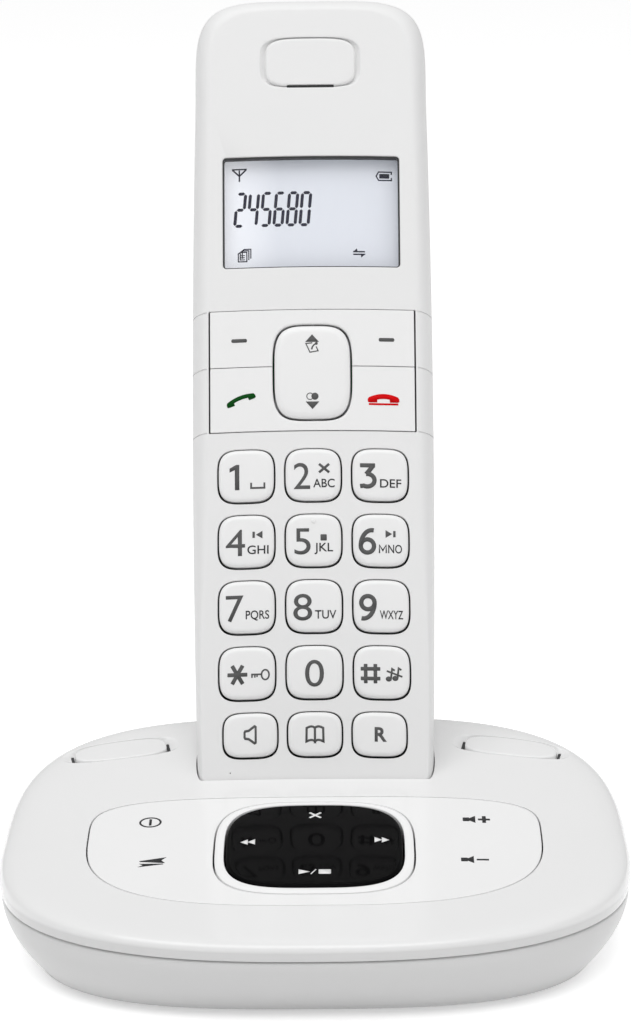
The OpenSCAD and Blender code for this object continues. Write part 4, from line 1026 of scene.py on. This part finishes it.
# letters as filled faces: cap height, stroke weight and full width given, centred on their own box
def letters(words, height, weight=0.0, width=None):
    curve = bpy.data.curves.new("letters", "FONT")
    curve.body = words
    curve.size = 10
    curve.offset = weight
    curve.resolution_u = 6
    thing = bpy.data.objects.new("letters", curve)
    bpy.context.scene.collection.objects.link(thing)
    bpy.context.view_layer.update()
    mesh = bpy.data.meshes.new_from_object(thing.evaluated_get(bpy.context.evaluated_depsgraph_get()))
    co = np.zeros(len(mesh.vertices) * 3)
    mesh.vertices.foreach_get("co", co)
    points = co.reshape(-1, 3)[:, :2]
    faces = [list(p.vertices) for p in mesh.polygons]
    up = np.array([p.normal.z for p in mesh.polygons]) > 0
    faces = [face if flag else face[::-1] for face, flag in zip(faces, up)]
    bpy.data.objects.remove(thing)
    bpy.data.curves.remove(curve)
    bpy.data.meshes.remove(mesh)
    low, high = points.min(0), points.max(0)
    scale = height / capHeight
    return (points - (low + high) / 2) * np.array([width / (high - low)[0] if width else scale, scale]), faces


# cap height of the built-in letters at their drawn size, measured on one of them
capHeight = 1
capHeight = np.ptp(letters("H", 1)[0][:, 1])


# print laid on a surface: shapes about a point, lifted over a height rule, given a thin body
def printed(name, shapes, at, height, place, ink, body, thickness=0.08, proud=0.045):
    points, faces = joined(shapes)
    x, y = points[:, 0] + at[0], points[:, 1] + at[1]
    mark = looseObject(name, (place(np.stack([x, y, height(x, y) + proud], -1)), faces))
    film = mark.modifiers.new("print", "SOLIDIFY")
    film.thickness = thickness * metre
    film.offset = -1
    finished(mark, inks[ink], body, weighted=False)


# several shapes moved alike
def moved(shapes, at, scale=(1, 1)):
    return [shifted(shape, at, scale) for shape in shapes]


# triangle that points up, turned and moved
def triangle(width, height, at=(0, 0), turn=0):
    corners = [(-width / 2, -height / 2), (width / 2, -height / 2), (0, height / 2)]
    return shifted(patch(corners), at, turn=turn)


# bar with slightly rounded corners, turned and moved
def bar(width, height, at=(0, 0), turn=0):
    return shifted(patch(roundedRect(width, height, min(width, height) * 0.12)), at, turn=turn)


digitLook = {"height": 5.4, "line": 0.9, "v": -0.2, "letters": 1.72, "lettersV": -1.72, "weight": 0.07,
             "iconAt": (2.3, 1.4)}
crossIcon = [bar(2.75, 0.52, turn=40), bar(2.75, 0.52, turn=-40)]
previousIcon = [triangle(1.6, 1.35, (0.35, 0), 90), bar(0.5, 1.3, (-0.8, 0))]
nextIcon = [triangle(1.6, 1.35, (-0.35, 0), -90), bar(0.5, 1.3, (0.8, 0))]
stopIcon = [bar(1.3, 1.3)]
spaceIcon = [stroke([(-1.38, 0.6), (-1.38, -0.5), (1.38, -0.5), (1.38, 0.6)], 0.38)]
lockIcon = [disc(0.78, (1.15, 0), 1.3, 0.33), stroke([(0.4, 0.1), (-1.75, 0.1)], 0.33),
            stroke([(-1.6, 0.1), (-1.6, -0.6)], 0.33), stroke([(-1.0, 0.1), (-1.0, -0.55)], 0.33),
            stroke([(-0.55, 0.1), (-0.55, -0.45)], 0.3)]
noteIcon = [disc(0.62, (-1.05, -1.05), 0.85), disc(0.62, (0.3, -0.9), 0.85),
            stroke([(-0.6, -1.0), (-0.35, 1.05), (0.2, 0.7)], 0.38),
            stroke([(0.75, -0.85), (1.0, 1.2), (1.55, 0.85)], 0.38),
            stroke([(-1.45, 0.6), (1.75, -0.55)], 0.36)]
starIcon = [bar(4.1, 0.8)] + [bar(4.4, 0.8, turn=a) for a in (60, -60)]
hashIcon = [bar(0.76, 4.0, (x, 0)) for x in sides] + [bar(4.05, 0.76, (0, -y)) for y in sides]
speakerIcon = [stroke([(-1.25, 0.75), (-0.45, 0.85), (0.95, 1.75), (1.2, 1.6), (1.2, -1.6), (0.95, -1.75),
                       (-0.45, -0.85), (-1.25, -0.75), (-1.4, -0.5), (-1.4, 0.5)], 0.5, True)]
pageRun = np.linspace(0, 1, 9)
bookTop = np.stack([1.7 * pageRun, 1.23 + 0.32 * np.sin(np.pi * pageRun ** 0.8)], -1)
bookFoot = bookTop * np.array([1.03, 1]) + np.array([0, -2.78])
bookHalf = np.concatenate([bookTop, bookFoot[::-1]])
bookIcon = [stroke(bookHalf, 0.46, True), stroke(bookHalf[::-1] * np.array([-1, 1]), 0.46, True)]
# digits with a drawing of their own: a flagged one, a flat-topped three and a round-backed six, which is
# the nine too
bowl, back = np.radians(np.linspace(100, -120, 18)), np.radians(np.linspace(180, 80, 16))
threeBowl = np.stack([1.5 * np.cos(bowl) - 0.2, 1.32 * np.sin(bowl) - 0.9], -1)
threeBowl = np.concatenate([threeBowl, [(-1.7, -2.15)]])
sixBack = np.stack([2.32 * np.cos(back) + 0.95, 3.3 * np.sin(back) - 0.95], -1)
six = [disc(1.37, (0, -0.95), 1, digitLook["line"]), stroke(sixBack, digitLook["line"])]
digits = {
    "1": [patch([(1.01, -2.65), (1.01, 2.65), (0.35, 2.65), (-1.01, 1.92), (-1.01, 1.1), (0.08, 1.59),
                 (0.08, -2.65)])],
    "3": [bar(3.15, 0.86, (-0.12, 2.22)), stroke([(1.05, 2.15), (-0.4, 0.36)], 0.95),
          stroke(threeBowl, digitLook["line"])],
    "6": six, "9": moved(six, (0, 0), (-1, -1)),
}
for digit, width in (("2", 3.4), ("4", 4.0), ("5", 3.35), ("7", 3.65), ("8", 3.9), ("0", 3.9)):
    digits[digit] = [letters(digit, digitLook["height"], 0, width)]
wideM = np.array([(-0.7, -0.86), (-0.7, 0.8), (0, -0.35), (0.7, 0.8), (0.7, -0.86)]) + (-1.62, 0)


# letters of a key in a given width; the M is drawn, since the built-in one is too narrow
def keyLetters(words, width):
    look = digitLook["letters"], digitLook["weight"]
    if words == "MNO":
        return [stroke(wideM, 0.27), shifted(letters("NO", *look, 2.85), (0.92, 0))]
    return [letters(words, *look, width)]


# per key: digit and its x, letters with their x and width, icon and its place
legends = {
    "key_1": ("1", -2.43, None, spaceIcon, (2.4, -2.0)),
    "key_2": ("2", -2.33, ("ABC", 2.25, 4.45), crossIcon, None),
    "key_3": ("3", -2.45, ("DEF", 2.2, 4.4), [], None),
    "key_4": ("4", -2.3, ("GHI", 2.38, 4.4), previousIcon, None),
    "key_5": ("5", -2.29, ("JKL", 2.1, 3.85), stopIcon, (2.1, 0.6)),
    "key_6": ("6", -2.75, ("MNO", 2.06, 4.7), nextIcon, (2.06, 1.4)),
    "key_7": ("7", -2.5, ("PQRS", 2.2, 4.85), [], None),
    "key_8": ("8", -2.34, ("TUV", 2.4, 4.4), [], None),
    "key_9": ("9", -2.75, ("WXYZ", 2.1, 4.8), [], None),
    "key_star": ("", 0, None, moved(starIcon, (-4.6, 0.1)) + lockIcon, (2.6, -0.3)),
    "key_0": ("0", 0, None, [], None),
    "key_hash": ("", 0, None, moved(hashIcon, (-4.8, 0)) + noteIcon, (2.45, -0.25)),
    "key_speaker": ("", 0, None, moved(speakerIcon, (0, 0), (0.88, 1)), (0.05, 0.15)),
    "key_book": ("", 0, None, bookIcon, (0, 0.1)),
    "key_r": ("", 0, None, [letters("R", 2.75, 0.3)], (0.22, 0.05)),
}
for row, names in enumerate(keys["names"]):
    for column, name in enumerate(names):
        at = keyPlace(row, column)[:2]
        digit, digitX, words, icon, iconAt = legends[name]
        shapes = moved(icon, iconAt or digitLook["iconAt"])
        if digit:
            shapes += moved(digits[digit], (digitX, digitLook["v"]))
        printed(name + "_legend", shapes, at, crowns[name], onFront, "grey", name)
        if words:
            spelt = moved(keyLetters(words[0], words[2]), (words[1], digitLook["lettersV"]))
            printed(name + "_letters", spelt, at, crowns[name], onFront, "dark", name)

# small raised dot of the middle key: a rounded cap
dot = {"radius": 0.45, "up": 4.0, "points": 24,
       "profile": [(-0.25, 0.3), (-0.12, 0.24), (-0.03, 0.12), (0, -0.1)]}
dotX, dotV = keyPlace(1, 1)[:2]
made("key_5_dot", pillow(circleRule(dot["radius"], dot["points"], (dotX, dotV + dot["up"])), dot["profile"],
                         crowns["key_5"], onFront, (0.3, 0.7)),
     finishes["key_white"], "key_5", slot="key_white")


# arched receiver in one outline: a low arch over the top, an ear with rounded corners at each end and a
# flatter arch between them
def receiver(span, rise, ear, depth):
    t = np.linspace(-1, 1, 15)
    over = np.stack([span / 2 * 0.93 * t, 0.5 + (rise - 0.5) * (1 - t * t)], -1)
    inner = np.stack([(span / 2 - ear) * t, 0.02 + 0.14 * (1 - t * t)], -1)
    corner = np.array([(0.5, 0.1), (0.5, -depth + 0.18), (0.47, -depth + 0.04), (0.43, -depth)])
    corner *= np.array([span, 1])
    foot = np.array([(span / 2 - ear + 0.1, -depth), (span / 2 - ear + 0.02, -depth + 0.06)])
    right = np.concatenate([corner, foot])
    return patch(np.concatenate([over, right, inner[::-1], right[::-1] * np.array([-1, 1])]))


softMark = patch(roundedRect(3.25, 0.76, 0.3))
softMarks = [shifted(softMark, (-15.25, 0)), shifted(softMark, (15.55, -0.05))]
callMark = [shifted(receiver(6.3, 1.0, 1.6, 0.55), (-14.9, 0.1), turn=20)]
endMark = [shifted(receiver(6.6, 1.22, 2, 0.58), (14.8, 0.1)), bar(6.15, 0.4, (14.8, -0.84))]
printed("soft_key_bar_legend", softMarks, (0, 100.6), barTop, onFront, "grey", "soft_key_bar")
printed("call_mark", callMark, (0, 87.85), barTop, onFront, "green", "call_key_bar")
printed("end_mark", endMark, (0, 87.75), barTop, onFront, "red", "call_key_bar")
bellLine = np.array([(0.05, 1.05), (-1.3, 0.92), (-0.45, -0.95), (1.25, -0.65), (0.85, 0.25)]) + (0, 5.05)
bellHand = np.array([(-0.1, -0.35), (0.05, 0.2), (0.35, 0.6), (0.75, 0.85)]) + (0, 5.05)
rockerMarks = [triangle(2.85, 1.6, (0, 7.1)), triangle(2.85, 1.6, (0, -7.1), 180),
               disc(0.68, (-0.5, -5.2), 1, 0.17), disc(0.74, (0.52, -5.2)),
               stroke(bellLine, 0.22), stroke(bellHand, 0.3), disc(0.3, (0.9, 5.98))]
printed("nav_rocker_legend", rockerMarks, (0, rocker["v"]), rockerTop, onFront, "grey", "nav_rocker")
print("keypad marks made")

display = {"width": 38.6, "height": 25.4, "corner": 0.6, "face": 2.925, "thick": 0.024, "marks": 2.905,
           "slant": 0.09, "cell": (2.75, 1.72, 6.9), "start": -15.0, "v": 1.2, "segment": 0.66}
# painted shade in the display window: widths of the dark ring at the sides, above and below, how far below the
# face it starts and how deep it goes, its rounding, gap and corner
paintedWindowShade = {"sides": 0.35, "above": 0.45, "below": 0.2, "top": 0.3, "deep": 1.5, "round": 0.06, "gap": 0.02,
          "corner": 0.48}
made("display_face", pillow(
    rectRule(display["width"], display["height"], display["corner"], (0, window["v"])),
    [(0, 0), (0, -display["thick"])], level(-display["face"]), onFront),
    displayPaintedGlow, "handset", slot="display_blue")

# painted shade of the display window: a dark ring between the window and a smaller rectangle, wider above,
# where the window's top edge casts its shadow
paintedShadeInner = rectRule(window["width"] - 2 * paintedWindowShade["sides"],
                       window["height"] - paintedWindowShade["above"] - paintedWindowShade["below"], paintedWindowShade["corner"],
                       (0, window["v"] + (paintedWindowShade["below"] - paintedWindowShade["above"]) / 2),
                       pieces=frontShell["splits"])
paintedShadeOuter = rectRule(window["width"] - paintedWindowShade["gap"], window["height"] - paintedWindowShade["gap"], window["corner"],
                       (0, window["v"]), pieces=frontShell["splits"])
made("display_window_painted_shade", band(paintedShadeInner, paintedShadeOuter, paintedWindowShade["round"], paintedWindowShade["deep"], level(-paintedWindowShade["top"]),
                            onFront, 4),
     finishes["dark_plastic"], "handset", slot="dark_plastic", weighted=False)
made("earpiece_mesh", pillow(lambda grow: slitOutline(grow - 0.03), [(-0.1, -0.42), (0, -0.5), (0, -1.4)],
                             flatFront, onFront, (0.2, 0.7)),
     finishes["dark_plastic"], "handset", slot="dark_plastic")


segments = {"0": "abcdef", "1": "bc", "2": "abged", "3": "abgcd", "4": "fgbc", "5": "afgcd", "6": "afgedc",
            "7": "abc", "8": "abcdefg", "9": "abcdfg"}


# seven-part digit: three level and four upright bars with pointed ends, leaning to the right
def segmentDigit(digit, at):
    _, width, height = display["cell"]
    thin, half, gap, point = display["segment"] / 2, height / 2, 0.1, 0.3
    levels = {"a": half, "g": 0, "d": -half}
    uprights = {"f": (-1, 1), "b": (1, 1), "e": (-1, -1), "c": (1, -1)}
    shapes = []
    for part in segments[digit]:
        if part in levels:
            y, w = levels[part], width / 2 - gap
            ring = [(-w, y), (-w + thin, y - thin), (w - thin, y - thin), (w, y), (w - thin, y + thin),
                    (-w + thin, y + thin)]
        else:
            side, up = uprights[part]
            x, low, high = side * width / 2, gap, half - gap
            lowIn, highIn = up * (low + point), up * (high - point)
            ring = [(x, up * low), (x + thin, lowIn), (x + thin, highIn), (x, up * high), (x - thin, highIn),
                    (x - thin, lowIn)]
        points, faces = patch(ring)
        points[:, 0] += points[:, 1] * display["slant"]
        shapes.append((points + np.array(at), faces))
    return shapes


screenMarks = [s for k, digit in enumerate("245680")
               for s in segmentDigit(digit, (display["start"] + k * display["cell"][0], display["v"]))]
aerial = [stroke([(-1.58, 1.3), (1.58, 1.3)], 0.3), stroke([(-1.43, 1.2), (0, -0.15), (1.42, 1.2)], 0.32),
          stroke([(0, 1.1), (0, -1.35)], 0.32)]
cellLine = [(1.5, -0.35), (1.5, -0.9), (-1.2, -0.9), (-1.7, 0), (-1.2, 0.9), (1.5, 0.9), (1.5, 0.35)]
cell = [stroke(cellLine, 0.28), bar(2.1, 1.0)]
screenMarks += moved(aerial, (-15.15, 8.65)) + moved(cell, (15.45, 8.22))
sheet = np.array([(-15.1, -9.9), (-15.1, -8.2), (-14.7, -7.9), (-13.3, -7.9), (-13.3, -9.9)])
for k in range(3):
    screenMarks.append(stroke(sheet + 0.42 * k * np.array([1, 0.75]) + (-0.35, 0), 0.24, k == 0))
screenMarks += [bar(1.0, 0.2, (-14.55, -8.6 - 0.45 * k)) for k in range(3)]
swap = [stroke([(-1.25, 0.28), (1.25, 0.28)], 0.3), patch([(-1.35, 0.18), (-0.45, 0.98), (-0.35, 0.38)]),
        stroke([(-1.25, -0.28), (1.25, -0.28)], 0.3), patch([(1.35, -0.18), (0.45, -0.98), (0.35, -0.33)])]
screenMarks += moved(swap, (10.0, -8.35))
printed("display_marks", screenMarks, (0, window["v"]), level(-display["marks"]), onFront, "liquid",
        "handset", 0.015, 0)
print("display made")

# loudspeaker of the volume marks: a box and a horn
horn = [bar(1.35, 1.5, (-2.2, 0)), patch([(-1.6, 0.42), (-0.35, 1.45), (-0.35, -1.45), (-1.6, -0.42)])]
pageSheets = [patch([(-2.6, 0.5), (2.6, 1.85), (1.65, 0.62), (2.45, -0.55), (-2.6, 0.2)]),
              patch([(-2.7, -0.65), (2.1, -0.8), (2.1, -1.05), (-2.8, -2.0), (-1.85, -1.2)])]
# per mark: its place on the plate or pad, and its shapes
plateMarks = {
    "power": ((-33, 1.6), [disc(2.05, (0, 0), 0.93, 0.4), bar(0.52, 2.6)]),
    "louder": ((32.55, 1.8), horn + [bar(2.4, 0.7, (1.4, 0)), bar(0.75, 2.8, (1.4, 0))]),
    "softer": ((31.65, -15.2), horn + [bar(2.4, 0.6, (1.4, 0))]),
    "page": ((-31.7, -15.2), pageSheets),
}
padMarks = {
    "erase": ((0.1, 2.6), [bar(3.2, 0.5, turn=a) for a in (45, -45)]),
    "back": ((-13.2, -8.45), [triangle(2.2, 1.5, (x, 0), 90) for x in (-0.73, 0.7)]),
    "forward": ((13.35, -7.9), [triangle(2.2, 1.5, (x, 0), -90) for x in (-0.7, 0.73)]),
    "play": ((0, -21.3), [triangle(1.85, 2.2, (-1.9, 0), -90), bar(2.1, 0.22, (-0.1, 0), 62),
                          bar(2.4, 1.75, (2.1, 0))]),
}
for marks, height, ink, body in ((plateMarks, domeHeight, "dark", "key_plate"),
                                 (padMarks, padHeight, "white", "message_pad")):
    for name, (at, shapes) in marks.items():
        printed(name + "_mark", shapes, at, height, onBase, ink, body)
print("base marks made")

# the nodes that still show take the finish of their slot
slotOf = {row["node"]: row["material_slot"] for row in frame["record"]["subparts"]}
for name, node in frame["nodes"].items():
    if not node.hide_render:
        node.data.materials.clear()
        node.data.materials.append(finishes[slotOf[name]])

# floor, light and camera
stage = {"floorSize": 9, "floorZ": -0.0001, "floorGlow": 0.47, "ambient": 0.53, "lampsAimAt": (0, 0, 0.08)}
lamps = [
    {"name": "top", "at": (-0.15, -0.35, 1.25), "size": (1.3, 1.0), "power": 8.8},
    {"name": "left", "at": (-1.0, -0.75, 0.55), "size": (0.7, 1.1), "power": 0.6},
    {"name": "right", "at": (1.05, -0.6, 0.6), "size": (0.6, 1.1), "power": 1.5},
]
view = {"from": (7.6, -664.17, 242.58), "to": (0.45, 16.21, 78.28), "lens": 118.6, "sensor": 36,
        "roll": -0.64, "clip": (0.05, 50)}

half = stage["floorSize"] / 2
floorMesh = bpy.data.meshes.new("floor")
floorCorners = [(-half, -half, 0), (half, -half, 0), (half, half, 0), (-half, half, 0)]
floorMesh.from_pydata(floorCorners, [], [(0, 1, 2, 3)])
floor = bpy.data.objects.new("floor", floorMesh)
bpy.context.scene.collection.objects.link(floor)
floor.location.z = stage["floorZ"]


# floor: matt white, with a little light of its own towards the eye so that it reads as a white sweep
def floorMaterial():
    material = grained("floorPale", (0.9, 0.9, 0.9), 0.7, 0.8, mottle=0.005, cloud=3, fine=60, relief=0.00001)
    nodes, link = material.node_tree.nodes, material.node_tree.links.new
    seen = nodes.new("ShaderNodeLightPath")
    glow, total = nodes.new("ShaderNodeEmission"), nodes.new("ShaderNodeAddShader")
    first, second = nodes.new("ShaderNodeMath"), nodes.new("ShaderNodeMath")
    first.operation = second.operation = "MAXIMUM"
    link(seen.outputs["Is Camera Ray"], first.inputs[0])
    link(seen.outputs["Is Glossy Ray"], first.inputs[1])
    link(first.outputs[0], second.inputs[0])
    link(seen.outputs["Is Transmission Ray"], second.inputs[1])
    scale = nodes.new("ShaderNodeMath")
    scale.operation = "MULTIPLY"
    scale.inputs[1].default_value = stage["floorGlow"]
    link(second.outputs[0], scale.inputs[0])
    link(scale.outputs[0], glow.inputs["Strength"])
    link(nodes["Principled BSDF"].outputs[0], total.inputs[0])
    link(glow.outputs[0], total.inputs[1])
    link(total.outputs[0], nodes["Material Output"].inputs["Surface"])
    return material


floorMesh.materials.append(floorMaterial())
world = bpy.data.worlds.new("studio")
bpy.context.scene.world = world
world.use_nodes = True
sky = world.node_tree.nodes["Background"]
seen = world.node_tree.nodes.new("ShaderNodeLightPath")
level = world.node_tree.nodes.new("ShaderNodeMapRange")
level.inputs["To Min"].default_value = stage["ambient"]
level.inputs["To Max"].default_value = 1
world.node_tree.links.new(seen.outputs["Is Camera Ray"], level.inputs["Value"])
world.node_tree.links.new(level.outputs[0], sky.inputs["Strength"])
sky.inputs["Color"].default_value = (1, 1, 1, 1)
for lamp in lamps:
    light = bpy.data.lights.new(lamp["name"], "AREA")
    light.shape = "RECTANGLE"
    light.size, light.size_y = lamp["size"]
    light.energy = lamp["power"]
    thing = bpy.data.objects.new(lamp["name"], light)
    bpy.context.scene.collection.objects.link(thing)
    thing.location = lamp["at"]
    aim = np.array(stage["lampsAimAt"]) - np.array(lamp["at"])
    thing.rotation_euler = (math.acos(aim[2] / np.linalg.norm(aim)) - math.pi, 0, math.atan2(aim[0], -aim[1]))
camera = bpy.data.objects.new("camera", bpy.data.cameras.new("camera"))
bpy.context.scene.collection.objects.link(camera)
camera.data.lens = view["lens"]
camera.data.sensor_width = view["sensor"]
camera.data.clip_start, camera.data.clip_end = view["clip"]
aim = np.array(view["to"]) - np.array(view["from"])
camera.location = np.array(view["from"]) * metre
pitch = math.pi / 2 + math.atan2(aim[2], aim[1])
yaw, roll = math.atan2(-aim[0], aim[1]), math.radians(view["roll"])
turns = [Matrix.Rotation(yaw, 3, "Z"), Matrix.Rotation(pitch, 3, "X"), Matrix.Rotation(roll, 3, "Z")]
camera.rotation_euler = (turns[0] @ turns[1] @ turns[2]).to_euler()
bpy.context.scene.camera = camera
bpy.context.scene.view_settings.view_transform = "Standard"
print("stage made")
